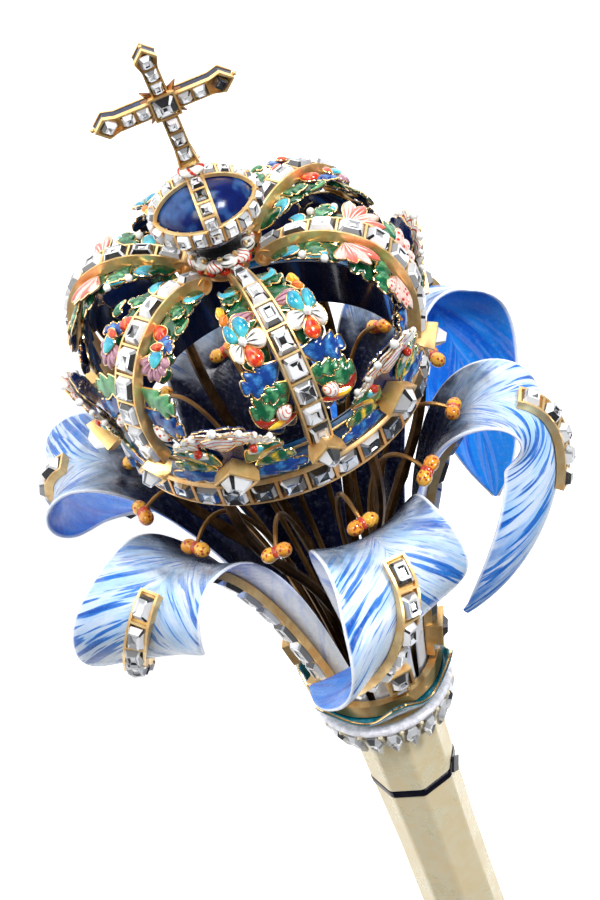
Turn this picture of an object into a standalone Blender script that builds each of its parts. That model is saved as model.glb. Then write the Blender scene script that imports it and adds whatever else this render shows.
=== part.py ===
"""A sceptre lying at rest: shaft, lily with six recurved petals, open six-arched crown, orb and cross.

Every piece is built upright in millimetres: local +Z runs up the sceptre, z = 0 is the foot of the
crown ring, and azimuth 0 is local +X. The empty named lying then lays the whole thing on the floor.
"""

import math
from functools import partial

import bmesh
import bpy
import numpy as np
from mathutils import Matrix, Vector

MM = 0.001
GAP = 0.1  # air between two fitted pieces

# Repeats round the axis
FOLD = 6
STEP_DEG = 360.0 / FOLD
ARCH_AZIMUTH = 9.0
CREST_AZIMUTH = ARCH_AZIMUTH - STEP_DEG / 2
PETAL_AZIMUTH = 12.0
CALYX_AZIMUTH = 4.0
ROD_AZIMUTH = 27.0
STAMENS = 12

# Shaft, from the collar down to the butt
SHAFT_TOP_Z = -72.6
SHAFT_NECK_Z = -104.0
SHAFT_MID_Z = -286.0
SHAFT_END_Z = -488.0
SHAFT_TOP_R = 7.8
SHAFT_NECK_R = 6.9
SHAFT_MID_R = 6.6
SHAFT_END_R = 6.3
SHAFT_FACETS = 8
KNOP_R = 10.6
KNOP_HALF = 9.0
KNOP_BELLY_HALF = 2.4
KNOP_FILLET_R = 7.8
KNOP_NECK_R = 6.8
POMMEL_R = 13.0
POMMEL_Z = -514.5
POMMEL_STRETCH = 1.15
POMMEL_TOP_DEG = 58.0
POMMEL_STEP_DEG = 20.0
POMMEL_FOOT_R = 7.7
POMMEL_WAIST_R = 6.5
BUTT_Z = -535.0

# Collar and calyx under the lily
COLLAR_RIM_R = 11.9
COLLAR_TOP_Z = -64.8
COLLAR_FOOT_R = 8.3
COLLAR_LIP = 0.6
COLLAR_LIP_FOOT_Z = -66.4
COLLAR_WAIST_R = 10.1
COLLAR_WAIST_Z = -68.2
CALYX_TIP_R = 13.6
CALYX_DIP_R = 11.9
CALYX_TIP_Z = -59.2
CALYX_FLOOR_Z = -62.2
CALYX_FOOT_R = 9.4
CALYX_WALL = 0.8

# Lily petal: centre line from the throat over the crest to the tip
THROAT_R = 8.3
THROAT_Z = -61.0
THROAT_RISE = 20.0
THROAT_FLARE = 3.4
CREST_REACH = 13.5
THROAT_HALF = 3.9
TIP_HALF = 0.5
PETAL_THICK = 1.1
CREST_SHARE = 0.52  # part of the petal's length that is funnel
SHEAR = 0.45
RUFFLE = 0.06
PETAL_STEPS = 14
FILL_FULL = 0.35  # place along the petal where its extra width is greatest
FILL_FADE = 0.2
FILL_POWER = 1.6

# How each petal curls past its crest. roll_deg turns the blade about its own centre line,
# crest_cup raises the edges at the crest and droop lowers them past it, as shares of the half width.
# fill widens the funnel
OPEN_PETAL = {
    "crest": (33.0, -7.8),
    "curl_reach": 10.0,
    "bulge": (44.2, -23.0),
    "tip": (28.5, -34.5),
    "swirl_deg": -33.0,
    "swirl_power": 2.5,
    "crest_half": 9.8,
    "curl_half": 11.4,
    "taper": 3.2,
    "roll_deg": 38.0,
    "crest_cup": 0.13,
    "droop": 0.05,
    "rib_last": 13,
    "fill": 0.0,
}
FURLED_PETAL = {
    "crest": (31.2, -8.3),
    "curl_reach": 14.8,
    "bulge": (38.6, -30.3),
    "tip": (27.1, -35.2),
    "swirl_deg": -36.0,
    "swirl_power": 2.7,
    "crest_half": 8.5,
    "curl_half": 8.0,
    "taper": 4.3,
    "roll_deg": -13.0,
    "crest_cup": 0.1,
    "droop": 0.73,
    "rib_last": 11,
    "fill": 0.0,
}
BROAD_PETAL = {
    "crest": (32.0, -8.1),
    "curl_reach": 10.2,
    "bulge": (36.1, -16.0),
    "tip": (28.7, -41.4),
    "swirl_deg": -28.0,
    "swirl_power": 2.5,
    "crest_half": 8.5,
    "curl_half": 11.8,
    "taper": 7.9,
    "roll_deg": 46.0,
    "crest_cup": 0.13,
    "droop": 0.24,
    "rib_last": 13,
    "fill": 0.0,
}
# The petal at the back fills the funnel between its neighbours
WIDE_PETAL = {**OPEN_PETAL, "crest_cup": 0.0, "fill": 4.2}
PETAL_FORMS = (OPEN_PETAL, FURLED_PETAL, BROAD_PETAL, WIDE_PETAL, OPEN_PETAL, OPEN_PETAL)

# Jewelled strips on the petals
RIB_FIRST = 8
RIB_HALF = 1.75
RIB_TALL = 2.2
STRAP_LAST = 6
STRAP_HALF = 1.7
STRAP_TALL = 2.1
STRAP_RING_R = 10.9
STRAP_RING_WALL = 1.3
STRAP_RING_ABOVE = 1.6
STRAP_RING_BELOW = 0.8

# Stamens and the rods that carry the crown
FILAMENT_R = 0.45
FILAMENT_FOOT = (5.7, -58.4)
FILAMENT_RISE = (7.4, -22.0)
FILAMENT_ARC = (16.0, 0.5)
ANTHER_AT = (25.5, -8.2)
ANTHER_HALF = 1.45
ANTHER_SPREAD = 1.25
CUP_R = 7.2
CUP_TOP_Z = -59.4
CUP_FLOOR_Z = -61.6
ROD_R = 0.9
ROD_FOOT = (3.6, -60.5)
ROD_RISE = (4.0, -26.0)
ROD_ARC = (21.6, -22.0)
ROD_HEAD = (22.1, -0.75)

# Crown ring, crests and arches
RING_OUT_R = 23.7
RING_WALL_R = 23.1
RING_IN_R = 21.2
STONE_ROW_TOP = 3.7
RIM_TOP = 4.6
RIM_R = 23.8
COVE_R = 22.8
RING_TOP = 8.4
RING_SIDES = 28
CREST_FOOT = (24.2, 5.0)
CREST_TIP = (27.8, 19.2)
CREST_WAIST = (23.8, 12.5)
CREST_HALF_W = 8.8
CREST_THICK = 1.1
BOX_Z = 8.5
LARGE_BOX = 3.5
SMALL_BOX = 2.8
BOX_BACK_R = 24.3
BOX_FACE_R = 27.0
BOX_POINT = 1.5
BOX_TILT_DEG = 20.0
ARCH_HEAD = (5.6, 27.4)
ARCH_LIFT = (14.0, 34.0)
ARCH_SHOULDER = (30.5, 29.5)
ARCH_FOOT = (24.4, 9.3)
ARCH_HALF_HEAD = 1.25
ARCH_HALF_FOOT = 1.85
ARCH_TALL = 2.4
SCROLL_R = 1.6
SCROLL_HALF = 1.4
SCROLL_AT = (6.2, 26.9)
WING_HALF = 9.4
WING_START = 0.10
WING_END = 0.93
WING_DROP = 1.8
WING_THICK = 0.8
WING_LOBES = 4.5
WING_LOBE_DEPTH = 0.17
WING_ANGLE = 0.42  # most half width as a share of the radius

# Hub, orb and cross
HUB_R = 4.4
HUB_FOOT_Z = 24.6
HUB_TOP_Z = 30.2
ORB_R = 7.3
ORB_HALF = 5.4
ORB_Z = 36.8
ORB_SIDES = 18
ORB_RINGS = 8
BAND_HALF = 1.3
BAND_TALL = 0.9
HOOP_SWEEP = 1.03  # a hoop ends this much past the equator, inside its band
CROSS_FOOT_Z = 44.9
CROSS_ARM_Z = 55.6
CROSS_TOP_Z = 65.2
CROSS_SPAN_HALF = 10.4
CROSS_BAR_HALF = 1.2
CROSS_THICK = 2.3
CROSS_SHOULDER = 0.3
CROSS_KITE = 1.7
CROSS_RAY = 2.7
CROSS_LEAN_DEG = -2.0


def clear_scene():
    for obj in list(bpy.data.objects):
        bpy.data.objects.remove(obj, do_unlink=True)


clear_scene()
sceptre = bpy.data.collections.new("sceptre")
bpy.context.scene.collection.children.link(sceptre)
helpers = bpy.data.collections.new("helpers")
bpy.context.scene.collection.children.link(helpers)
helpers.hide_render = True
lying = bpy.data.objects.new("lying", None)
sceptre.objects.link(lying)


def material(name, colour, roughness, metallic):
    made = bpy.data.materials.new(name)
    made.use_nodes = True
    shader = made.node_tree.nodes["Principled BSDF"]
    shader.inputs["Base Color"].default_value = (*colour, 1.0)
    shader.inputs["Roughness"].default_value = roughness
    shader.inputs["Metallic"].default_value = metallic
    return made


gold = material("gold", (0.83, 0.56, 0.22), 0.25, 1.0)
pale_gold = material("pale_gold", (0.90, 0.80, 0.55), 0.35, 0.6)
petal_enamel = material("petal_enamel", (0.62, 0.70, 0.86), 0.25, 0.0)
leaf_enamel = material("leaf_enamel", (0.05, 0.25, 0.22), 0.2, 0.0)
navy_enamel = material("navy_enamel", (0.02, 0.04, 0.14), 0.2, 0.0)
teal_enamel = material("teal_enamel", (0.02, 0.22, 0.26), 0.2, 0.0)
orange_enamel = material("orange_enamel", (0.80, 0.26, 0.04), 0.3, 0.0)
sapphire = material("sapphire", (0.02, 0.05, 0.25), 0.08, 0.0)


def place(obj, surface, azimuth=0.0):
    """Puts a piece in the collection, under the empty, turned about the sceptre's axis."""
    obj.data.materials.clear()
    obj.data.materials.append(surface)
    sceptre.objects.link(obj)
    obj.parent = lying
    obj.rotation_euler = (0.0, 0.0, math.radians(azimuth))
    return obj


def baked(obj):
    """The evaluated mesh of a helper, which is then removed."""
    helpers.objects.link(obj)
    bpy.context.view_layer.update()
    graph = bpy.context.evaluated_depsgraph_get()
    mesh = bpy.data.meshes.new_from_object(obj.evaluated_get(graph))
    mesh.transform(obj.matrix_world)
    bpy.data.objects.remove(obj, do_unlink=True)
    tidy = bmesh.new()
    tidy.from_mesh(mesh)
    bmesh.ops.remove_doubles(tidy, verts=tidy.verts, dist=1e-6)
    bmesh.ops.recalc_face_normals(tidy, faces=tidy.faces)
    tidy.to_mesh(mesh)
    tidy.free()
    return mesh


def fused(mesh, others):
    """One body from several closed meshes, by Boolean union."""
    target = bpy.data.objects.new("fused", mesh)
    cutters = []
    for i, other in enumerate(others):
        cutter = bpy.data.objects.new(f"piece_{i}", other)
        cutter.display_type = "WIRE"
        helpers.objects.link(cutter)
        cutters.append(cutter)
        union = target.modifiers.new(f"union_{i}", "BOOLEAN")
        union.operation = "UNION"
        union.solver = "EXACT"
        union.object = cutter
    result = baked(target)
    for cutter in cutters:
        bpy.data.objects.remove(cutter, do_unlink=True)
    return result


def turned_mesh(name, profile, sides, closed=False):
    """A turned shape: the (radius, z) profile runs top to bottom on its outer side."""
    mesh = bpy.data.meshes.new(name)
    count = len(profile)
    edges = [(i, i + 1) for i in range(count - 1)]
    if closed:
        edges.append((count - 1, 0))
    mesh.from_pydata([(r * MM, 0.0, z * MM) for r, z in profile], edges, [])
    obj = bpy.data.objects.new(name, mesh)
    screw = obj.modifiers.new("turn", "SCREW")
    screw.steps = sides
    screw.render_steps = sides
    screw.use_merge_vertices = True
    screw.merge_threshold = 0.00001
    screw.use_smooth_shade = False
    return baked(obj)


def loft(name, sections):
    """A closed body through equal-length rings of points in millimetres, capped at both ends."""
    shape = bmesh.new()
    rings = [[shape.verts.new(Vector(p) * MM) for p in ring] for ring in sections]
    size = len(rings[0])
    for first, second in zip(rings, rings[1:]):
        for i in range(size):
            j = (i + 1) % size
            shape.faces.new((first[i], first[j], second[j], second[i]))
    shape.faces.new(list(reversed(rings[0])))
    shape.faces.new(rings[-1])
    bmesh.ops.triangulate(shape, faces=[f for f in shape.faces if len(f.verts) > 4])
    bmesh.ops.recalc_face_normals(shape, faces=shape.faces)
    mesh = bpy.data.meshes.new(name)
    shape.to_mesh(mesh)
    shape.free()
    return mesh


def sheet(name, columns, rows, place_at, thick):
    """A bent plate: a grid whose points are set by place_at(u, v), made solid evenly about that surface."""
    shape = bmesh.new()
    bmesh.ops.create_grid(shape, x_segments=columns, y_segments=rows, size=0.5)
    for vert in shape.verts:
        vert.co = Vector(place_at(vert.co.x + 0.5, 2.0 * vert.co.y)) * MM
    mesh = bpy.data.meshes.new(name)
    shape.to_mesh(mesh)
    shape.free()
    obj = bpy.data.objects.new(name, mesh)
    solid = obj.modifiers.new("thickness", "SOLIDIFY")
    solid.thickness = thick * MM
    solid.offset = 0.0
    return baked(obj)


def wire(name, path, radius, fineness):
    """A wire along a path in millimetres; fineness 0 has four sides, 1 has six."""
    curve = bpy.data.curves.new(name, "CURVE")
    curve.dimensions = "3D"
    curve.bevel_depth = radius * MM
    curve.bevel_resolution = fineness
    curve.use_fill_caps = True
    line = curve.splines.new("POLY")
    line.points.add(len(path) - 1)
    for point, at in zip(line.points, path):
        point.co = (at[0] * MM, at[1] * MM, at[2] * MM, 1.0)
    return baked(bpy.data.objects.new(name, curve))


def bezier(points, t):
    a, b, c, d = (np.array(p, float) for p in points)
    s = 1.0 - t
    return s**3 * a + 3 * s * s * t * b + 3 * s * t * t * c + t**3 * d


def round_at(radius, azimuth_deg, z):
    angle = math.radians(azimuth_deg)
    return np.array([radius * math.cos(angle), radius * math.sin(angle), z])


def unit(vector):
    return vector / np.linalg.norm(vector)


def smooth(x):
    x = min(max(x, 0.0), 1.0)
    return x * x * (3.0 - 2.0 * x)


# Petals


def petal_spine(form, u):
    """Centre line of a petal, from the throat (0) over the crest (CREST_SHARE) to the tip (1)."""
    crest_r, crest_z = form["crest"]
    if u < CREST_SHARE:
        t = u / CREST_SHARE
        r, z = bezier(
            (
                (THROAT_R, THROAT_Z),
                (THROAT_R + THROAT_FLARE, THROAT_Z + THROAT_RISE),
                (crest_r - CREST_REACH, crest_z),
                (crest_r, crest_z),
            ),
            t,
        )
        return round_at(r, 0.0, z)
    t = (u - CREST_SHARE) / (1.0 - CREST_SHARE)
    reach = (crest_r + form["curl_reach"], crest_z)
    r, z = bezier(((crest_r, crest_z), reach, form["bulge"], form["tip"]), t)
    return round_at(r, form["swirl_deg"] * t ** form["swirl_power"], z)


def petal_frame(form, u):
    """Centre point, across direction and upper-face normal of a petal."""
    small = 1e-3
    here = petal_spine(form, u)
    ahead = petal_spine(form, min(u + small, 1.0))
    along = unit(ahead - petal_spine(form, max(u - small, 0.0)))
    azimuth = math.atan2(here[1], here[0])
    tangent = np.array([-math.sin(azimuth), math.cos(azimuth), 0.0])
    across = unit(tangent - along * np.dot(tangent, along) * SHEAR)
    normal = unit(np.cross(along, across))
    turned = smooth((u - CREST_SHARE) / (1.0 - CREST_SHARE) / 0.7)
    roll = math.radians(form["roll_deg"]) * turned
    rolled = across * math.cos(roll) - normal * math.sin(roll)
    return here, rolled, normal * math.cos(roll) + across * math.sin(roll)


def petal_half(form, u):
    crest = form["crest_half"]
    if u < CREST_SHARE:
        extra = form["fill"] * smooth(u / FILL_FULL) ** FILL_POWER * smooth((CREST_SHARE - u) / FILL_FADE)
        return THROAT_HALF + (crest - THROAT_HALF) * smooth(u / CREST_SHARE) ** 0.9 + extra
    t = (u - CREST_SHARE) / (1.0 - CREST_SHARE)
    swell = crest + (form["curl_half"] - crest) * math.sin(math.pi * min(1.25 * t, 1.0))
    return max(TIP_HALF, swell * (1.0 - t ** form["taper"]) ** 0.8)


def petal_point(form, u, v):
    here, across, normal = petal_frame(form, u)
    half = petal_half(form, u)
    radius = math.hypot(here[0], here[1])
    funnel = 1.0 - smooth((u - CREST_SHARE) / 0.2)
    cup = half / (2.0 * radius) * funnel
    crest_cup = form["crest_cup"] * math.exp(-(((u - CREST_SHARE) / 0.13) ** 2))
    bend = cup + crest_cup - form["droop"] * (1.0 - funnel)
    ruffle = RUFFLE * math.sin(9.0 * u + 1.2 * v) * smooth((u - 0.35) / 0.3)
    aside = half * v * (1.0 - 0.06 * v * v)
    return here + across * aside + normal * half * v * v * (bend + ruffle)


def petal_strip(name, form, first, last, count, half, low, high):
    """A box strip along the petal's centre line, between two heights over it."""
    sections = []
    for i in range(count + 1):
        u = first + (last - first) * i / count
        here, across, normal = petal_frame(form, u)
        wide = half * (1.0 - 0.35 * smooth((i / count - 0.7) / 0.3))
        sections.append(
            [
                here - across * wide + normal * low,
                here + across * wide + normal * low,
                here + across * wide + normal * high,
                here - across * wide + normal * high,
            ]
        )
    return loft(name, sections)


def ring_copies(base, mesh, surface, azimuth, count=FOLD):
    for k in range(count):
        number = f"{k + 1:02d}" if count > 9 else f"{k + 1}"
        place(bpy.data.objects.new(f"{base}_{number}", mesh), surface, azimuth + 360.0 / count * k)


face = PETAL_THICK / 2 + GAP
straps = []
for k, form in enumerate(PETAL_FORMS):
    azimuth = PETAL_AZIMUTH + STEP_DEG * k
    blade = sheet(f"petal_{k + 1}", PETAL_STEPS, 4, partial(petal_point, form), PETAL_THICK)
    place(bpy.data.objects.new(f"petal_{k + 1}", blade), petal_enamel, azimuth)
    rib = petal_strip(
        f"petal_rib_{k + 1}",
        form,
        RIB_FIRST / PETAL_STEPS,
        form["rib_last"] / PETAL_STEPS,
        2 * (form["rib_last"] - RIB_FIRST),
        RIB_HALF,
        face + GAP,
        face + RIB_TALL,
    )
    place(bpy.data.objects.new(f"petal_rib_{k + 1}", rib), gold, azimuth)
    strap = petal_strip(
        f"strap_{k + 1}",
        form,
        0.0,
        STRAP_LAST / PETAL_STEPS,
        STRAP_LAST,
        STRAP_HALF,
        -face - STRAP_TALL,
        -face,
    )
    strap.transform(Matrix.Rotation(math.radians(STEP_DEG * k), 4, "Z"))
    straps.append(strap)

strap_ring = turned_mesh(
    "strap_ring",
    [
        (STRAP_RING_R, THROAT_Z + STRAP_RING_ABOVE),
        (STRAP_RING_R, THROAT_Z - STRAP_RING_BELOW),
        (STRAP_RING_R - STRAP_RING_WALL, THROAT_Z - STRAP_RING_BELOW),
        (STRAP_RING_R - STRAP_RING_WALL, THROAT_Z + STRAP_RING_ABOVE),
    ],
    18,
    closed=True,
)
place(
    bpy.data.objects.new("petal_straps", fused(strap_ring, straps)),
    gold,
    PETAL_AZIMUTH,
)

# Calyx, collar, shaft and pommel


def calyx_ring(tip_r, dip_r, tip_z, dip_z, count=24):
    ring = []
    for i in range(count):
        azimuth = 360.0 * i / count
        point = abs(math.cos(math.radians(azimuth * FOLD / 2))) ** 2.5
        radius = dip_r + (tip_r - dip_r) * point
        ring.append(round_at(radius, azimuth, dip_z + (tip_z - dip_z) * point))
    return ring


calyx_mesh = loft(
    "calyx",
    [
        calyx_ring(CALYX_FOOT_R, CALYX_FOOT_R, COLLAR_TOP_Z + 2 * GAP, COLLAR_TOP_Z + 2 * GAP),
        calyx_ring(CALYX_TIP_R, CALYX_DIP_R, CALYX_TIP_Z, CALYX_FLOOR_Z - 0.6),
        calyx_ring(
            CALYX_TIP_R - CALYX_WALL,
            CALYX_DIP_R - CALYX_WALL / 2,
            CALYX_TIP_Z + 0.3,
            CALYX_FLOOR_Z - 0.3,
        ),
        calyx_ring(STRAP_RING_R + 0.6, CALYX_DIP_R - CALYX_WALL, CALYX_FLOOR_Z, CALYX_FLOOR_Z),
    ],
)
place(bpy.data.objects.new("calyx", calyx_mesh), teal_enamel, CALYX_AZIMUTH)

collar_mesh = turned_mesh(
    "collar",
    [
        (0.0, COLLAR_TOP_Z),
        (COLLAR_RIM_R - COLLAR_LIP, COLLAR_TOP_Z),
        (COLLAR_RIM_R, COLLAR_TOP_Z - COLLAR_LIP),
        (COLLAR_RIM_R - COLLAR_LIP, COLLAR_LIP_FOOT_Z),
        (COLLAR_WAIST_R, COLLAR_WAIST_Z),
        (COLLAR_FOOT_R, SHAFT_TOP_Z + GAP),
        (0.0, SHAFT_TOP_Z + GAP),
    ],
    20,
)
place(bpy.data.objects.new("collar", collar_mesh), gold)

upper_mesh = turned_mesh(
    "shaft_upper",
    [
        (0.0, SHAFT_TOP_Z),
        (SHAFT_TOP_R, SHAFT_TOP_Z),
        (SHAFT_NECK_R, SHAFT_NECK_Z),
        (SHAFT_MID_R, SHAFT_MID_Z + KNOP_HALF),
        (0.0, SHAFT_MID_Z + KNOP_HALF),
    ],
    SHAFT_FACETS,
)
place(bpy.data.objects.new("shaft_upper", upper_mesh), pale_gold)
lower_mesh = turned_mesh(
    "shaft_lower",
    [
        (0.0, SHAFT_MID_Z - KNOP_HALF),
        (SHAFT_MID_R, SHAFT_MID_Z - KNOP_HALF),
        (SHAFT_END_R, SHAFT_END_Z),
        (0.0, SHAFT_END_Z),
    ],
    SHAFT_FACETS,
)
place(bpy.data.objects.new("shaft_lower", lower_mesh), pale_gold)
knop_half_profile = [
    (KNOP_FILLET_R, KNOP_HALF - GAP),
    (KNOP_FILLET_R, KNOP_HALF - 2.4),
    (KNOP_NECK_R, KNOP_HALF - 3.6),
    (KNOP_R - 0.6, KNOP_BELLY_HALF),
]
knop_profile = [(0.0, SHAFT_MID_Z + KNOP_HALF - GAP)]
knop_profile += [(r, SHAFT_MID_Z + up) for r, up in knop_half_profile]
knop_profile.append((KNOP_R, SHAFT_MID_Z))
knop_profile += [(r, SHAFT_MID_Z - up) for r, up in reversed(knop_half_profile)]
knop_profile.append((0.0, SHAFT_MID_Z - KNOP_HALF + GAP))
place(bpy.data.objects.new("shaft_knop", turned_mesh("shaft_knop", knop_profile, 14)), gold)

pommel_profile = [
    (0.0, SHAFT_END_Z - GAP),
    (SHAFT_END_R + 1.6, SHAFT_END_Z - GAP),
    (SHAFT_END_R + 1.9, SHAFT_END_Z - 2.0),
    (SHAFT_END_R + 0.6, SHAFT_END_Z - 4.0),
    (SHAFT_END_R + 0.2, SHAFT_END_Z - 6.5),
]
for i in range(7):
    swing = math.radians(POMMEL_TOP_DEG - POMMEL_STEP_DEG * i)
    height = POMMEL_R * POMMEL_STRETCH * math.sin(swing)
    pommel_profile.append((POMMEL_R * math.cos(swing), POMMEL_Z + height))
pommel_profile += [
    (POMMEL_WAIST_R, BUTT_Z + 3.4),
    (POMMEL_FOOT_R + GAP, BUTT_Z + 1.8),
    (POMMEL_FOOT_R, BUTT_Z),
    (0.0, BUTT_Z),
]
place(bpy.data.objects.new("pommel", turned_mesh("pommel", pommel_profile, 14)), gold)

# Stamens and crown rods


def meridian_path(points, count):
    path = []
    for i in range(count + 1):
        r, z = bezier(points, i / count)
        path.append(round_at(r, 0.0, z))
    return path


def anther_lobe(side):
    shape = bmesh.new()
    bmesh.ops.create_icosphere(shape, subdivisions=1, radius=ANTHER_HALF * MM)
    mesh = bpy.data.meshes.new("anther_lobe")
    shape.to_mesh(mesh)
    shape.free()
    r, z = ANTHER_AT
    mesh.transform(Matrix.Translation(Vector((r, side * ANTHER_SPREAD, z)) * MM))
    return mesh


filament = wire(
    "filament",
    meridian_path((FILAMENT_FOOT, FILAMENT_RISE, FILAMENT_ARC, ANTHER_AT), 5),
    FILAMENT_R,
    0,
)
stamen_mesh = fused(filament, [anther_lobe(-1.0), anther_lobe(1.0)])
ring_copies("stamen", stamen_mesh, orange_enamel, PETAL_AZIMUTH, STAMENS)

cup_mesh = turned_mesh(
    "crown_rods",
    [(0.0, CUP_TOP_Z), (CUP_R - 0.8, CUP_TOP_Z), (CUP_R, CUP_FLOOR_Z), (0.0, CUP_FLOOR_Z)],
    12,
)
rods = []
for k in range(FOLD):
    rod = wire("rod", meridian_path((ROD_FOOT, ROD_RISE, ROD_ARC, ROD_HEAD), 5), ROD_R, 1)
    rod.transform(Matrix.Rotation(math.radians(STEP_DEG * k), 4, "Z"))
    rods.append(rod)
place(bpy.data.objects.new("crown_rods", fused(cup_mesh, rods)), gold, ROD_AZIMUTH)

# Crown

ring_mesh = turned_mesh(
    "crown_ring",
    [
        (RING_WALL_R, RING_TOP),
        (COVE_R, RIM_TOP + 0.6),
        (RIM_R, RIM_TOP),
        (RIM_R, STONE_ROW_TOP),
        (RING_OUT_R, STONE_ROW_TOP - GAP),
        (RING_OUT_R, 0.0),
        (RING_IN_R, 0.0),
        (RING_IN_R, RING_TOP),
    ],
    RING_SIDES,
    closed=True,
)
place(bpy.data.objects.new("crown_ring", ring_mesh), navy_enamel)


def box_setting(size):
    """A square box on its corner, with a four-sided point, looking outwards and a little down."""
    sections = []
    for radius, half in ((BOX_BACK_R, 0.62), (BOX_FACE_R, 1.0), (BOX_FACE_R + BOX_POINT, 0.22)):
        reach = size * half
        sections.append(
            [
                (radius, 0.0, BOX_Z - reach),
                (radius, reach, BOX_Z),
                (radius, 0.0, BOX_Z + reach),
                (radius, -reach, BOX_Z),
            ]
        )
    box = loft("box_setting", sections)
    back = Matrix.Translation(Vector((BOX_BACK_R, 0.0, BOX_Z)) * MM)
    box.transform(back @ Matrix.Rotation(math.radians(BOX_TILT_DEG), 4, "Y") @ back.inverted())
    return box


def crest_point(u, v):
    """Outward-leaning palmette: u runs from foot to tip, v across."""
    reach = (0.62 + 0.38 * smooth(u / 0.5)) * (1.0 - 0.30 * smooth((u - 0.72) / 0.28))
    notch = 1.0 - 0.10 * abs(math.sin(2.5 * math.pi * v)) * smooth((u - 0.5) / 0.5)
    lift = u * (1.0 - 0.16 * v * v * u) * notch
    foot, waist, tip = (np.array(p) for p in (CREST_FOOT, CREST_WAIST, CREST_TIP))
    r, z = (1 - lift) ** 2 * foot + 2 * (1 - lift) * lift * waist + lift**2 * tip
    return round_at(r, math.degrees(v * reach * CREST_HALF_W / CREST_TIP[0]), z)


crest_plate = sheet("crest", 3, 6, crest_point, CREST_THICK)
crest_mesh = fused(crest_plate, [box_setting(LARGE_BOX)])
ring_copies("crown_crest", crest_mesh, leaf_enamel, CREST_AZIMUTH)


def arch_frame(t):
    """Centre point and outward normal of an arch at azimuth 0."""
    points = (ARCH_HEAD, ARCH_LIFT, ARCH_SHOULDER, ARCH_FOOT)
    small = 1e-3
    r, z = bezier(points, t)
    along = unit(bezier(points, min(t + small, 1.0)) - bezier(points, max(t - small, 0.0)))
    return r, z, -along[1], along[0]


def arch_section(t):
    r, z, out_r, out_z = arch_frame(t)
    half = ARCH_HALF_HEAD + (ARCH_HALF_FOOT - ARCH_HALF_HEAD) * smooth(t / 0.6)
    tall = ARCH_TALL / 2
    return [
        (r - out_r * tall, -half, z - out_z * tall),
        (r - out_r * tall, half, z - out_z * tall),
        (r + out_r * tall, half, z + out_z * tall),
        (r + out_r * tall, -half, z + out_z * tall),
    ]


arch_steps = 9
arch_bar = loft("arch", [arch_section(i / arch_steps) for i in range(arch_steps + 1)])
scroll = turned_mesh(
    "scroll",
    [(0.0, SCROLL_HALF), (SCROLL_R, SCROLL_HALF), (SCROLL_R, -SCROLL_HALF), (0.0, -SCROLL_HALF)],
    8,
)
scroll_centre = Matrix.Translation(Vector((SCROLL_AT[0], 0.0, SCROLL_AT[1])) * MM)
scroll.transform(scroll_centre @ Matrix.Rotation(math.pi / 2, 4, "X"))
arch_mesh = fused(arch_bar, [scroll, box_setting(SMALL_BOX)])
ring_copies("crown_arch", arch_mesh, gold, ARCH_AZIMUTH)


def wing_point(u, v):
    """Leafwork plate under an arch: u runs from head to foot, v across."""
    t = WING_START + (WING_END - WING_START) * u
    r, z, out_r, out_z = arch_frame(t)
    r -= out_r * WING_DROP
    z -= out_z * WING_DROP
    half = WING_HALF * math.sin(math.pi * (0.10 + 0.76 * u)) ** 0.8
    half *= 1.0 - WING_LOBE_DEPTH * abs(math.sin(math.pi * WING_LOBES * u))
    return round_at(r, math.degrees(v * min(half / r, WING_ANGLE)), z)


wing_mesh = sheet("crown_leafwork", 12, 2, wing_point, WING_THICK)
ring_copies("crown_leafwork", wing_mesh, leaf_enamel, ARCH_AZIMUTH)

# Hub, orb and cross

hub_mesh = turned_mesh(
    "crown_hub",
    [
        (0.0, HUB_TOP_Z),
        (HUB_R - 0.6, HUB_TOP_Z),
        (HUB_R, HUB_TOP_Z - 1.2),
        (HUB_R - 0.3, HUB_TOP_Z - 3.4),
        (HUB_R - 1.2, HUB_FOOT_Z + 1.0),
        (HUB_R - 2.6, HUB_FOOT_Z),
        (0.0, HUB_FOOT_Z),
    ],
    14,
)
place(bpy.data.objects.new("crown_hub", hub_mesh), gold)


def orb_profile(radius, half, rings, first=0.0, last=180.0):
    profile = []
    for i in range(rings + 1):
        polar = math.radians(first + (last - first) * i / rings)
        profile.append((max(radius * math.sin(polar), 0.0), ORB_Z + half * math.cos(polar)))
    return profile


orb_mesh = turned_mesh("orb", orb_profile(ORB_R, ORB_HALF, ORB_RINGS), ORB_SIDES)
place(bpy.data.objects.new("orb", orb_mesh), sapphire)


def orb_hoop(over):
    """A half hoop over the orb, from one side of the equator band to the other."""
    sections = []
    for i in range(ORB_RINGS + 1):
        polar = math.radians((-90.0 + 180.0 * i / ORB_RINGS) * HOOP_SWEEP)
        ring = []
        under = GAP + over / 40
        for lift, side in ((under, -1.0), (under, 1.0), (over, 1.0), (over, -1.0)):
            ring.append(
                (
                    (ORB_R + lift) * math.sin(polar),
                    side * BAND_HALF,
                    ORB_Z + (ORB_HALF + lift) * math.cos(polar),
                )
            )
        sections.append(ring)
    return loft("hoop", sections)


equator = turned_mesh(
    "equator",
    [
        (ORB_R + GAP, ORB_Z + BAND_HALF),
        (ORB_R + BAND_TALL, ORB_Z + BAND_HALF),
        (ORB_R + BAND_TALL, ORB_Z - BAND_HALF),
        (ORB_R + GAP, ORB_Z - BAND_HALF),
    ],
    ORB_SIDES,
    closed=True,
)
crossing_hoop = orb_hoop(BAND_TALL + 0.08)
crossing_hoop.transform(Matrix.Rotation(math.pi / 2, 4, "Z"))
cage_mesh = fused(equator, [orb_hoop(BAND_TALL + 0.15), crossing_hoop])
place(bpy.data.objects.new("orb_bands", cage_mesh), gold)

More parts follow.
